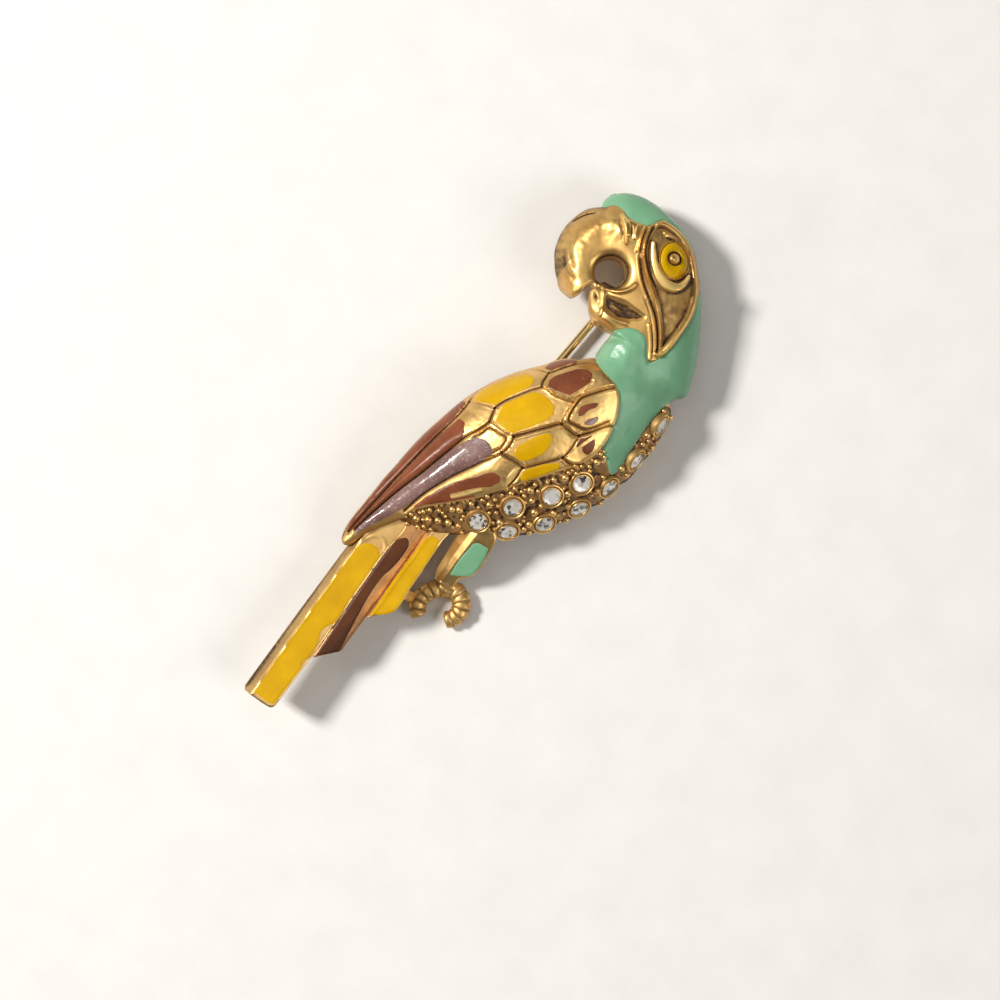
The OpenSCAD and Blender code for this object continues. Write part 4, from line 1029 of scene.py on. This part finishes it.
# The enamel fills. columns: the CAD's node or none, enamel, outline
WING_FILLS = [
    ("wing_enamel_1", brown, [(-3.75, 13), (-3, 13), (-2.3, 13.9), (-1.5, 15.05),
        (-1.1, 15.5), (-1.25, 15.95), (-2, 15.55), (-2.9, 14.85), (-3.6, 13.95)]),
    ("wing_enamel_2", brown, [(-2.2, 11.45), (-2.5, 12.1), (-2.4, 12.8), (-1.6, 14),
        (-0.75, 15.1), (0.1, 15.6), (0.85, 15.6), (1.2, 15.1), (1.25, 14.4), (0.75, 13),
        (0.35, 12.1), (-0.5, 11.85), (-1.5, 11.5)]),
    ("wing_enamel_3", brown, [(2, 11.2), (2.5, 10.8), (2.85, 11.3), (3, 12.2), (3.45, 12.7),
        (3.45, 13.4), (2.9, 13.2), (2.3, 12.5), (1.9, 11.9)]),
    (None, plum, [(3.2, 10.6), (3.7, 10.55), (4.3, 11.1), (4.45, 11.9), (4.1, 12.25), (3.8, 11.8),
        (3.4, 11.4)]),
    ("wing_enamel_4", brown, [(3.98, 9.1), (3.98, 8.3), (4.35, 8), (4.55, 8.8), (4.95, 9.9),
        (4.95, 10.5), (4.45, 9.95)]),
    (None, brown, [(4.65, 8.4), (5.2, 8), (5.8, 8.15), (6, 8.8), (5.8, 9.5), (5.3, 10.2),
        (5.05, 9.6)]),
    ("wing_enamel_5", yellow, [(-7.88, 5.45), (-6.7, 5.95), (-5.5, 6.4), (-5, 7.75), (-4.2, 9.4),
        (-3.65, 10.5), (-3.7, 11.2), (-4.15, 11.55), (-4.9, 11.4), (-5.9, 10.4), (-7, 8.7),
        (-7.8, 7.2)]),
    ("wing_enamel_6", yellow, [(-4.75, 6.2), (-4.55, 5.2), (-4.35, 4.98), (-2.4, 4.98),
        (-1.95, 5.4), (-0.9, 7), (0, 8.5), (0.2, 9.5), (-0.3, 10.3), (-1.3, 10.5),
        (-2.3, 10.55), (-3.2, 10.1), (-4.3, 8.3), (-4.9, 7)]),
    ("wing_enamel_7", yellow, [(-1, 4.1), (-0.85, 3.4), (-0.3, 3.2), (0.4, 3.25), (1, 3.8),
        (1.8, 5.2), (2, 6.3), (1.75, 7.4), (1.1, 7.6), (0.5, 7.2), (-0.3, 5.8)]),
    ("wing_enamel_8", yellow, [(1.25, 2.9), (1.25, 1.9), (1.7, 1.55), (2.4, 2.2), (3.4, 3.8),
        (4.2, 5.1), (4.1, 5.6), (3.5, 5.6), (2.5, 4.5)]),
    ("flight_enamel_1", brown, [(-8.85, 4.95), (-8.2, 4.95), (-8.17, 4), (-8.25, 3),
        (-8.52, 1.5), (-8.76, 0), (-9.06, -2), (-9.3, -4), (-9.54, -6), (-9.74, -8), (-9.98, -10.5),
        (-10.18, -13), (-10.3, -14.6), (-10.5, -14.4), (-10.72, -13.6), (-10.77, -12.4),
        (-10.68, -11), (-10.63, -9), (-10.58, -7), (-10.43, -5.5), (-10.33, -3.5), (-10.13, -1.5),
        (-9.83, 0.5), (-9.43, 2.3), (-9.13, 3.8)]),
    ("flight_enamel_2", brown, [(-7.95, 3.15), (-7, 3.1), (-6.8, 2.65), (-6.4, 2.25),
        (-6.25, 1.5), (-6.62, 0), (-7.12, -2), (-7.64, -4), (-8.24, -6), (-8.78, -8), (-9.2, -10),
        (-9.6, -12), (-9.85, -13.5), (-9.95, -14.7), (-10.12, -14.6), (-10.05, -13), (-9.8, -10.5),
        (-9.54, -8), (-9.33, -6), (-9.1, -4), (-8.84, -2), (-8.54, 0), (-8.2, 1.7)]),
    ("flight_enamel_3", plum, [(-5.65, 1.75), (-5.15, 2.5), (-4.4, 2.85), (-3.5, 2.85),
        (-2.9, 2.55), (-2.5, 2.1), (-2.98, 1), (-3.65, -0.4), (-4.47, -1.9), (-5.3, -3.7),
        (-6, -5.5), (-6.42, -7), (-6.9, -8.6), (-7.7, -10.4), (-8.5, -12), (-9.2, -13.6),
        (-9.55, -14.2), (-9.68, -13.4), (-9.45, -12), (-9.02, -10), (-8.56, -8), (-8, -6),
        (-7.4, -4), (-6.88, -2), (-6.38, 0), (-6, 1.1)]),
    ("flight_enamel_4", brown, [(-2, -0.05), (-1.5, 0.5), (-0.9, 0.75), (-0.3, 0.6), (-0.1, 0.1),
        (-0.5, -0.9), (-1.2, -1.4), (-2.1, -2.3), (-2.9, -3.3), (-3.6, -4.2), (-3.25, -4.35),
        (-2.4, -3.4), (-1.6, -2.6), (-1.25, -2.75), (-2, -3.6), (-3.1, -4.75), (-4.1, -5.75),
        (-5.1, -6.75), (-5.9, -7.8), (-6.15, -7.6), (-5.75, -6.3), (-5, -4.3), (-4.1, -2.7),
        (-3.4, -1.9), (-2.6, -1)]),
]
wing_line = outline(WING_LEFT, WING_RIGHT)
# Spots of the wing painted bright, as painted highlights and a painted reflection. columns of a
# row: half width, amount, points
WING_SHINE = [
    (0.75, 0.7, [(3.6, 14.9), (4.6, 13.8), (5.4, 12.2), (5.9, 10.6)]),
    (0.6, 0.5, [(-3.6, 3.5), (-3.2, 3.6)]),
    (0.6, 0.5, [(2, 8.3), (2.6, 8.2)]),
    (0.4, 0.35, [(-7.3, 4.6), (-6.4, 4.9)]),
]
# The bare streak in the last feather's fill
STREAK = path([(-1.25, -1.75), (-1.9, -2.6), (-2.6, -3.5), (-3.3, -4.3)])
fill_lines = [scale_line(points) for _, _, points in WING_FILLS]


def wing_top(x, y, d):
    fine = [(0.88 * half, 0.85 * depth, points) for half, depth, points in WING_GROOVES]
    deep, dark = engraved(x, y, fine, lip=0.22 * ease((y - 2) / 1.5))
    z = wing_form(x, y, d) - deep + 0.012 * grain(x, y, 0.35, 90)
    edge = np.min([np.abs(nearest(line, x, y)[0]) for line in fill_lines], axis=0)
    # A spot on the last feather's top is tilted and painted bright: a painted highlight.
    facet = spot(x, y, (0.55, 1.3), (0.3, 1.2), 4)
    streak = bell(away(STREAK, x, y)[0] / 0.22)
    # The long feathers' gold is painted darker: painted shade.
    ribs = 0.32 * ease((0.6 - y) / 1.5) * (1 - streak)
    # Dark in the cut lines, for antiquing and painted shade, and thin dark lines round the fills.
    dark = np.maximum(0.55 * dark, 0.1 * bell(edge / 0.07)) * (1 - streak)
    # Painted shade darkens the wing's edge.
    dark = np.maximum(dark, ribs) + 0.12 * (1 - ease(d / 0.3))
    # Lightened: the painted highlight on that spot, the bare streak where the enamel wore away, and
    # painted highlights and a painted reflection at the listed spots.
    shine_and_wear = 0.8 * facet + 0.8 * streak + shine_at(x, y, WING_SHINE)
    return z - 0.25 * facet * (x - 0.9) + 0.05 * streak, dark * (1 - facet) - shine_and_wear * (1 - dark)


relief("wing_gold", wing_line, wing_top, satin_gold, 0.09,
       low=lambda x, y, d: body_z(x, y) - 0.8, cavity=0.22, reach=0.25)


def coat(name, line, top, paint, step):
    return relief(name, line, top, paint, step, drop=0.4)


def fill_top(seed, rise):
    def top(x, y, d):
        z = wing_form(x, y, nearest(wing_line, x, y)[0])
        return z - 0.03 + (0.03 + rise) * ease(d / 0.12) + 0.012 * grain(x, y, 0.7, seed)
    return top


for k, ((cad_node, paint, _), line) in enumerate(zip(WING_FILLS, fill_lines)):
    rise = 0.06 if paint is yellow else 0.035
    made = coat(f"wing_fill_{k + 1}", line, fill_top(k, rise), paint, 0.085)
    if cad_node:
        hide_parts(cad_node)


# Belly band

# columns: x, y, how far the stone leans outwards in degrees
STONES = [
    (0.5, -4.7, 24), (2.6, -1.2, 24), (5.3, 2.3, 26), (7.1, 5.4, 26), (3.75, -3.65, 45),
    (6.5, -0.55, 44), (8.55, 3.1, 48), (9.8, 6.9, 54), (10.4, 11.1, 63), (10.25, 15.75, 66),
]
# Beads between the stones. columns: x, y, radius
BEADS = [
    (7, 8.25, 0.4), (8.9, 5.8, 0.4), (6.55, 3.6, 0.4), (5.25, 4.8, 0.42), (3.05, 1.45, 0.42),
    (3.85, 0.65, 0.36), (7.4, 2.55, 0.36), (4.85, -0.2, 0.45), (5.2, -1.6, 0.4),
    (0.45, -2.5, 0.42), (2.5, -3.35, 0.42), (5.75, -2.3, 0.35), (-1.85, -4.9, 0.42),
    (-2.5, -5.3, 0.36), (2.2, -5.25, 0.36), (9.7, 14, 0.36), (10.95, 13.3, 0.36),
    (9.65, 9.4, 0.36), (8.2, 1.25, 0.38), (10.1, 5, 0.36), (-5.1, -8.5, 0.42),
    (-3.95, -7.8, 0.42), (-3.05, -7.25, 0.42), (-2, -6.75, 0.42), (-1.2, -3.6, 0.34),
    (-0.9, -6.4, 0.34), (4.4, 3.9, 0.3), (6, 5.9, 0.34), (1.6, -0.1, 0.32),
    (10.6, 17.2, 0.34), (9.55, 17.2, 0.3), (10.6, 9.2, 0.32), (6.6, 1, 0.36),
    (1.6, 0.55, 0.28), (-0.3, -1.9, 0.3), (8.6, 7.4, 0.28), (9.9, 12.9, 0.3),
]
band_line = outline(
    BELLY,
    [(-6.6, -9.2), (-5.6, -7.2), (-3.4, -4.8), (-1.2, -2.3), (1.4, 1.2), (3.6, 4.4), (5.2, 6.8),
        (6, 9)],
    [(6.6, 10.4), (7.1, 9.9), (8, 9.2), (9, 8.4)],
    [(9.25, 8.3), (9.3, 11), (9.15, 13), (9.05, 15), (9.15, 16.6), (9.4, 17.8)],
)
stone_at = np.array(STONES)[:, :2] * GRID
# a smooth place of the band, without beads
BARE = (8.2, 8.3)


def band_top(x, y, d):
    rough = 0.1 * grain(x, y, 0.3, 11) + 0.1 * grain(x, y, 0.6, 12)
    bare = spot(x, y, BARE, 0.75, 4)
    z = body_z(x, y) - 0.16 - 0.2 * (1 - ease(d / 0.35)) + rough * (1 - bare) + 0.14 * bare
    near = np.min([np.hypot(x - p[0], y - p[1]) for p in stone_at], axis=0)
    z = z - 0.25 * (1 - ease((near - 0.7) / 0.5))
    # Darker in the lows of the pebbling: antiquing and painted shade.
    return z, 0.3 * (1 - bare) * (1 - ease((rough + 0.1) / 0.2))


relief("belly_band", band_line, band_top, shaded_antique_gold, 0.1, drop=0.6, cavity=0.09,
       reach=0.3)

# The listed beads, then small ones wherever a random try finds room.
beads = [np.array([x, y, r]) * (*GRID, 1) for x, y, r in BEADS]
draw = np.random.default_rng(12)
tries = draw.uniform(band_line.min(0), band_line.max(0), (1600, 2))
room = nearest(band_line, tries[:, 0], tries[:, 1])[0]
for (x, y), space, r in zip(tries, room, draw.uniform(0.18, 0.3, len(tries))):
    clear = np.hypot(*(stone_at - (x, y)).T).min() > STONE_R + 0.36 + 0.5 * r
    clear = clear and np.hypot(x - BARE[0], y - BARE[1]) > 0.8 and space > 0.8 * r
    if clear and all(math.hypot(x - b[0], y - b[1]) > 0.92 * (r + b[2]) for b in beads):
        beads.append(np.array([x, y, r]))
parts = []
for x, y, r in beads:
    turn = normal(x, y)
    middle = np.array([x, y, level(x, y) - 0.05]) + turn[:, 2] * 0.04
    parts.append(ball(middle, (r, r, 0.95 * r), turn))
v, f, g = joined(parts)
# Each bead is painted darker towards its foot: painted shade.
piece("belly_beads", v, f, satin_gold, 0.75 * g)


# A cup's section from its foot outside, over its rim, to the seat. columns: how far outside the
# stone's edge, height, darkness: painted shade and antiquing at the foot, in the groove between the
# rims and against the stone
CUP = np.array([
    (0.42, -0.7, 0.9), (0.44, -0.02, 0.5), (0.42, 0.12, 0.15), (0.35, 0.21, 0), (0.26, 0.23, 0),
    (0.18, 0.16, 0.35), (0.12, 0.05, 0.85), (0.08, 0.16, 0.3), (0.03, 0.27, 0), (-0.02, 0.28, 0),
    (-0.05, 0.2, 0.3), (-0.03, 0.1, 0.8), (-0.03, -0.7, 1),
])


def cup(turn, at, sides=48):
    """The points, faces and darkness of one stone's cup."""
    a = np.linspace(0, 2 * math.pi, sides, endpoint=False)
    r, z = STONE_R + CUP[:, :1], CUP[:, 1:2]
    v = np.stack([r * np.cos(a), r * np.sin(a), z + 0 * a], 2).reshape(-1, 3)
    faces = []
    for i in range(len(CUP)):
        faces += belt(i * sides, (i + 1) % len(CUP) * sides, sides, flip=True)
    return v @ turn.T + at, faces, np.repeat(CUP[:, 2], sides)


def leaning(x, y, angle):
    """A turn whose third column leans by the angle, down the slope of the surface."""
    slope = normal(x, y, 0.8)[:2, 2]
    slope = slope / np.linalg.norm(slope)
    return upright(np.array([*(slope * math.sin(angle)), math.cos(angle)]))


def brilliant():
    """A round brilliant of radius 1: points of the crown and pavilion with their faces."""
    def ring(n, r, z, turn):
        angles = [2 * math.pi * (k + turn) / n for k in range(n)]
        return [(r * math.cos(a), r * math.sin(a), z) for a in angles]

    table, star = ring(8, 0.55, 0.34, 0), ring(8, 0.78, 0.2, 0.5)
    girdle, under = ring(16, 1.0, 0.0, 0), ring(16, 1.0, -0.06, 0)
    pavilion, culet = ring(8, 0.42, -0.5, 0.5), [(0, 0, -0.78)]
    v = table + star + girdle + under + pavilion + culet
    # where each ring's points start
    t, s, g, u, b, c = 0, 8, 16, 32, 48, 56
    f = [list(range(8))]
    for k in range(8):
        n = (k + 1) % 8
        left, mid, right = g + 2 * k, g + 2 * k + 1, g + (2 * k + 2) % 16
        f.append([t + k, s + k, t + n])
        f.append([t + n, s + k, right, s + n])
        f.append([s + k, left, mid])
        f.append([s + k, mid, right])
        low_l, low_m, low_r = u + 2 * k, u + 2 * k + 1, u + (2 * k + 2) % 16
        f += [[left, low_l, low_m, mid], [mid, low_m, low_r, right]]
        f += [[low_l, b + k, low_m], [low_m, b + k, low_r]]
        f.append([low_r, b + k, c, b + n])
    return np.array(v), f


def outward(v, f):
    """Faces turned so that each normal points away from the middle."""
    middle = v.mean(0)
    out = []
    for face in f:
        p = v[face]
        n = np.cross(p[1] - p[0], p[2] - p[0])
        out.append(face if n @ (p.mean(0) - middle) > 0 else face[::-1])
    return out


glass, foil = clear_stone(), stone_foil()
GEM_R = 0.97 * STONE_R
gem, gem_faces = brilliant()
gem_faces = outward(gem, gem_faces)
# The foil lies against the facets below the girdle, whose points start at BELOW.
BELOW = 32
foil_shape = gem[BELOW:] * (0.965, 0.965, 1.0)
foil_faces = [list(range(16))] + [[i - BELOW for i in q] for q in gem_faces if min(q) >= BELOW]
cups = []
for k, (x, y) in enumerate(stone_at):
    turn = leaning(x, y, math.radians(STONES[k][2]))
    at = np.array([x, y, level(x, y)])
    cups.append(cup(turn, at))
    spin = math.radians(17 * k)
    c, s = math.cos(spin), math.sin(spin)
    spun = turn @ np.array([[c, -s, 0], [s, c, 0], [0, 0, 1]]) * GEM_R
    made = piece(f"stone_{k + 1}_cut", gem @ spun.T + at + turn[:, 2] * 0.2, gem_faces, glass,
                 sharp=1)
    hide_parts(f"stone_{k + 1}")
    piece(f"stone_{k + 1}_foil", foil_shape @ spun.T + at + turn[:, 2] * 0.185, foil_faces, foil,
          sharp=1)
v, f, g = joined(cups)
piece("stone_cups", v, f, satin_gold, g, 30)


# Tail

# columns: y, z
FEATHER_Z = np.array([(-35.05, 6.3), (-25, 5.9), (-14, 5.3), (-6, 5.1)])
# The outlines of the long, the middle and the short feather, in runs that meet in corners
TAIL = [
    [[(-9.55, -9.5), (-9.45, -14), (-9.35, -25)], [(-9.2, -34.6)], [(-8.9, -35), (-5.4, -34.75)],
        [(-5.15, -34.4), (-5.25, -25), (-5.6, -14), (-5.7, -9.5)]],
    [[(-5.9, -8), (-5.75, -12), (-5.45, -20)], [(-5.1, -27.75)], [(-2.95, -25.2), (-3.1, -19),
        (-3.3, -12), (-3.3, -7)]],
    [[(-3.6, -6.5), (-3.5, -9), (-3.2, -14)], [(-3, -20.65)], [(-0.9, -18.3), (-1.05, -14),
        (-1.3, -9), (-1.3, -6.5)]],
]
# how far each feather lies above FEATHER_Z
TAIL_STEP = [0.15, 0.0, -0.15]
# The crest of each feather, left of which it falls away. columns: x at y -10, x at y -34
CREST = [(-8.7, -8.05), (-6.2, -5.6), (-2.85, -2.35)]
CREST_RISE = [0.08, 0.08, 0.02]
# right of which x a feather falls away as well
RIGHT_FALL = [None, -4.15, None]
# Each feather's enamel, with its outline's runs
TAIL_FILL = [
    (yellow, [[(-8.5, -15.1), (-8.1, -14.2), (-7.2, -13.7), (-6.4, -13.75), (-5.75, -14.4)],
        [(-5.68, -15.5), (-5.5, -20), (-5.38, -23.2), (-5.75, -23.9), (-5.95, -24.8), (-5.6, -25.6),
        (-5.35, -26.4), (-5.32, -28.1), (-5.55, -28.5), (-5.32, -29.1), (-5.28, -31)],
        [(-5.28, -34.2), (-5.7, -34.45)], [(-7.95, -34.5), (-8.13, -30), (-8.36, -22)]]),
    (umber, [[(-5.68, -12.1), (-5.2, -11.3), (-4.6, -10.9), (-4, -11.3), (-3.8, -12.6),
        (-3.85, -14.2), (-4.15, -16), (-4.1, -18.5), (-3.75, -21), (-3.35, -23.5), (-3.1, -25)],
        [(-3.05, -25.4)], [(-4.98, -27.45), (-5.18, -24), (-5.48, -18)]]),
    (yellow, [[(-3.1, -10.2), (-2.85, -9.3), (-2.2, -8.9), (-1.55, -9), (-1.32, -9.8)],
        [(-1.15, -12), (-1.04, -15), (-0.94, -18.25)], [(-2.85, -20.3), (-3, -17),
        (-3.12, -13)]]),
]


def rib_z(y, k):
    return (np.interp(y, *FEATHER_Z.T) + TAIL_STEP[k]) * GZ


def tail_top(k):
    """The top of a feather: a bevel left of its crest, and a slightly hollow face right of it."""
    def top(x, y, d):
        c = np.interp(-y, [10, 34], CREST[k])
        z = rib_z(y, k) - 1.0 * np.clip((c - x) / 1.1, 0, 1) - 0.1 * (1 - ease(d / 0.12))
        z = z - 0.06 * ease((x - c) / 0.35) + CREST_RISE[k] * bell((x - c) / 0.14)
        if RIGHT_FALL[k]:
            z = z - 0.75 * np.clip((x - RIGHT_FALL[k]) / 1.1, 0, 1)
        bevel = 0
        if k == 0:
            arc = np.hypot((x + 6.9) / 1.35, (y + 14.3) / 1.7)
            z = z + 0.05 * bell((arc - 1) / 0.1) * (y > -14.1)
            # The first feather's bevel is painted dark: a painted dark reflection.
            bevel = ease((c - 0.12 - x) / 0.15) * (0.6 + 0.08 * grain(x, y * 0.3, 0.7, 40))
        return z + 0.012 * grain(x, y * 0.4, 0.9, 30 + k), bevel
    return top


def tail_fill_top(k):
    def top(x, y, d):
        z = tail_top(k)(x, y, d + 0.1)[0] + 0.1 * ease(d / 0.2)
        return z + 0.012 * grain(x, y, 0.9, 50 + k) - 0.03
    return top


def tail_low(k):
    return lambda x, y, d: rib_z(y, k) - 1.7 + 0.15 * (1 - ease(d / 0.2))


for k, (runs, (paint, fill)) in enumerate(zip(TAIL, TAIL_FILL)):
    plate = rosy_gold if k == 1 else satin_gold
    relief(f"tail_feather_{k + 1}", outline(*runs), tail_top(k), plate, 0.13,
           low=tail_low(k), cavity=0.06, reach=0.35)
    made = coat(f"tail_enamel_piece_{k + 1}", outline(*fill), tail_fill_top(k), paint, 0.13)
    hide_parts(f"tail_enamel_{k + 1}")


# Leg and claws

# The leg's top and underside. columns: y, z
LEG_Z = np.array([(-12.6, 2.3), (-11, 3.4), (-9.4, 4.4), (-8, 5.1), (-6.4, 5.7), (-4.6, 6.2)])
LEG_FOOT = np.array([(-12.6, 0.4), (-11, 1.2), (-9.4, 2), (-8, 2.6), (-6.4, 3.2), (-4.6, 3.6)])
leg_line = outline(
    [(-0.6, -6), (-0.4, -8), (-0.2, -10), (0, -11.9)],
    [(0.45, -12.8), (1.4, -12.9), (2.6, -12.6)],
    [(2.7, -11.2), (3.3, -10.5), (3.75, -9.8)],
    [(3.85, -8.5), (3.7, -7), (3.4, -5.2)],
    [(2.8, -4.6), (0, -5.4)],
)


def leg_top(x, y, d):
    z = np.interp(y, *LEG_Z.T) * GZ + 0.25
    z = z - 0.4 * np.clip(1.3 - x, 0, 0.7) - 0.9 * np.clip(0.6 - x, 0, 1.2)
    z = z - 0.5 * np.clip((x - 1.35) / 2.4, 0, 1.2) ** 1.2
    return z - 0.12 * (1 - ease(d / 0.15))


relief("leg", leg_line, leg_top, satin_gold, 0.1,
       low=lambda x, y, d: np.interp(y, *LEG_FOOT.T) * GZ, cavity=0.06)
made = relief("leg_enamel", outline([(1.5, -7.05), (1.9, -6.6), (2.5, -6.45)],
                                    [(3.35, -6.4), (3.6, -7.3), (3.75, -8.6)],
                                    [(3.7, -9.8), (3.2, -10.5), (2.5, -11.0)],
                                    [(1.5, -11.55), (1.35, -9.5)]),
              lambda x, y, d: leg_top(x, y, d + 0.1) - 0.02 + 0.1 * ease(d / 0.3), green,
              0.1, drop=0.4)
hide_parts("green_leg_enamel")

CLAW_R = 1.0
# columns of a row: x, y, share of the full radius
CLAWS = [
    [(2.2, -12.75, 1), (1.35, -13.7, 1.05), (0.72, -14.8, 1.05), (0.55, -15.8, 1.02),
        (0.9, -16.75, 0.98), (1.7, -17.25, 0.92)],
    [(2.2, -12.7, 1), (3.6, -12.65, 1.08), (4.55, -13.25, 1.1), (4.95, -14.2, 1.08),
        (4.75, -15.2, 1.02), (4.15, -15.95, 0.95)],
]
CLAW_SIDES = 20


def knuckles(t, joints, wide):
    """A claw's radius along its length: a chain of short swollen joints with rounded ends."""
    u = (t * joints) % 1
    swell = np.sin(math.pi * u) ** 0.5
    end = dome(np.minimum(t, 1 - t) / 0.05, 2.0) * 0.5 + 0.5
    notch = bell(np.minimum(u, 1 - u) / 0.13)
    width = np.interp(t, np.linspace(0, 1, len(wide)), wide)
    return width * (0.97 + 0.04 * swell - 0.1 * notch) * end


parts = []
for joints, rows in zip((6, 7), CLAWS):
    line = path([(x, y, CLAW_R * 1.04) for x, y, _ in rows], 0.07)
    wide = np.array([r for _, _, r in rows]) * CLAW_R
    v, f = tube(line, lambda t: knuckles(t, joints, wide), CLAW_SIDES, 0.95)
    u = np.repeat(along(line) * joints % 1, CLAW_SIDES)
    # Darker in the notches between the joints: antiquing and painted shade.
    g = np.concatenate([bell(np.minimum(u, 1 - u) / 0.1), [0.5, 0.5]])
    knob = 0.08 * grain(v[:, 0], v[:, 1] + v[:, 2], 0.5, 70)
    v = v + np.stack([knob, -knob, knob * 0.5], 1)
    v[:, 2] = np.maximum(v[:, 2], 0.01)
    parts.append((v, f, g))
ankle = ball(np.array([2.2, -12.45, 1.25]), (1.35, 0.9, 1.1), np.eye(3), 14, 24)
# The ankle is painted darker towards its foot: painted shade.
parts.append((*ankle[:2], ankle[2] * 0.3))
v, f, g = joined(parts)
# random darker blotches, plus the painted shade of the notches and the ankle's foot
darkening = 0.12 + 0.12 * grain(v[:, 0] + v[:, 2], v[:, 1], 0.4, 71)
piece("claws", v, f, satin_gold, darkening + 0.6 * g, 60)

tab_line = outline(
    [(-1.5, -15.45), (-0.8, -15.45), (0.3, -15.6)],
    [(0.5, -16.5), (-0.2, -16.65), (-0.8, -16.6), (-1.5, -16.6)],
)
# columns: x, top z, bottom z
TAB = np.array([(-1.5, 4.6, 3.6), (-0.9, 4.4, 3.2), (0.4, 1.3, 0.5)]).T
relief("claw_tab", tab_line,
       lambda x, y, d: np.interp(x, TAB[0], TAB[1]) - 0.1 * (1 - ease(d / 0.2)),
       bright_gold, 0.1, low=lambda x, y, d: np.interp(x, TAB[0], TAB[2]))


# Pin

for name in ("pin_hinge", "pin_stem", "pin_catch"):
    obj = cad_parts[name]
    obj.data.materials.clear()
    obj.data.materials.append(wire_gold)


# Stage

FLOOR = 0.7
mesh = bpy.data.meshes.new("floor")
mesh.from_pydata([(-FLOOR, -FLOOR, 0), (FLOOR, -FLOOR, 0), (FLOOR, FLOOR, 0), (-FLOOR, FLOOR, 0)],
                 [], [(0, 1, 2, 3)])
floor = bpy.data.objects.new("floor", mesh)
bpy.context.scene.collection.objects.link(floor)
mesh.materials.append(pale_paper())

# The camera looks straight down, turned so that the bird leans as it does in the photograph.
AIM = (1.06, -1.41)
CAMERA_Z = 250.0
FRAME_WIDTH = 110.0
MID_Z = 6.0
SENSOR = 36.0
camera = bpy.data.objects.new("camera", bpy.data.cameras.new("camera"))
bpy.context.scene.collection.objects.link(camera)
camera.location = Vector((*AIM, CAMERA_Z)) * MM
camera.rotation_euler = (0, 0, LEAN)
camera.data.sensor_width = SENSOR
camera.data.lens = SENSOR * (CAMERA_Z - MID_Z) / FRAME_WIDTH
camera.data.clip_start, camera.data.clip_end = 0.01, 10
bpy.context.scene.camera = camera


# The lamps, in metres and watts, all aimed at the brooch. columns: name, place, size, power, colour
LAMPS = [
    ("key", (-0.39, -0.11, 0.43), (0.1, 0.1), 3.9, (1.0, 0.97, 0.92)),
    ("overhead", (-0.1, 0.02, 0.6), (0.5, 0.5), 0.55, (1.0, 0.99, 0.97)),
    ("panel", (-0.5, 0.35, 0.3), (0.4, 0.5), 0.35, (1.0, 0.98, 0.95)),
    ("side", (0.46, 0.08, 0.4), (0.3, 0.3), 1.3, (1.0, 0.99, 0.96)),
    ("low", (-0.34, -0.42, 0.25), (0.08, 0.08), 0.35, (1.0, 0.98, 0.94)),
]
for name, at, size, power, colour in LAMPS:
    data = bpy.data.lights.new(name, "AREA")
    data.shape = "RECTANGLE"
    data.size, data.size_y = size
    data.energy = power
    data.color = colour
    lamp = bpy.data.objects.new(name, data)
    bpy.context.scene.collection.objects.link(lamp)
    lamp.location = at
    lamp.rotation_euler = (-Vector(at)).to_track_quat("-Z", "Y").to_euler()
bpy.context.scene.view_settings.view_transform = "Standard"

world = bpy.data.worlds.new("world")
bpy.context.scene.world = world
world.use_nodes = True
sky = world.node_tree.nodes["Background"]
sky.inputs["Color"].default_value = (0.62, 0.6, 0.57, 1)
sky.inputs["Strength"].default_value = 0.1
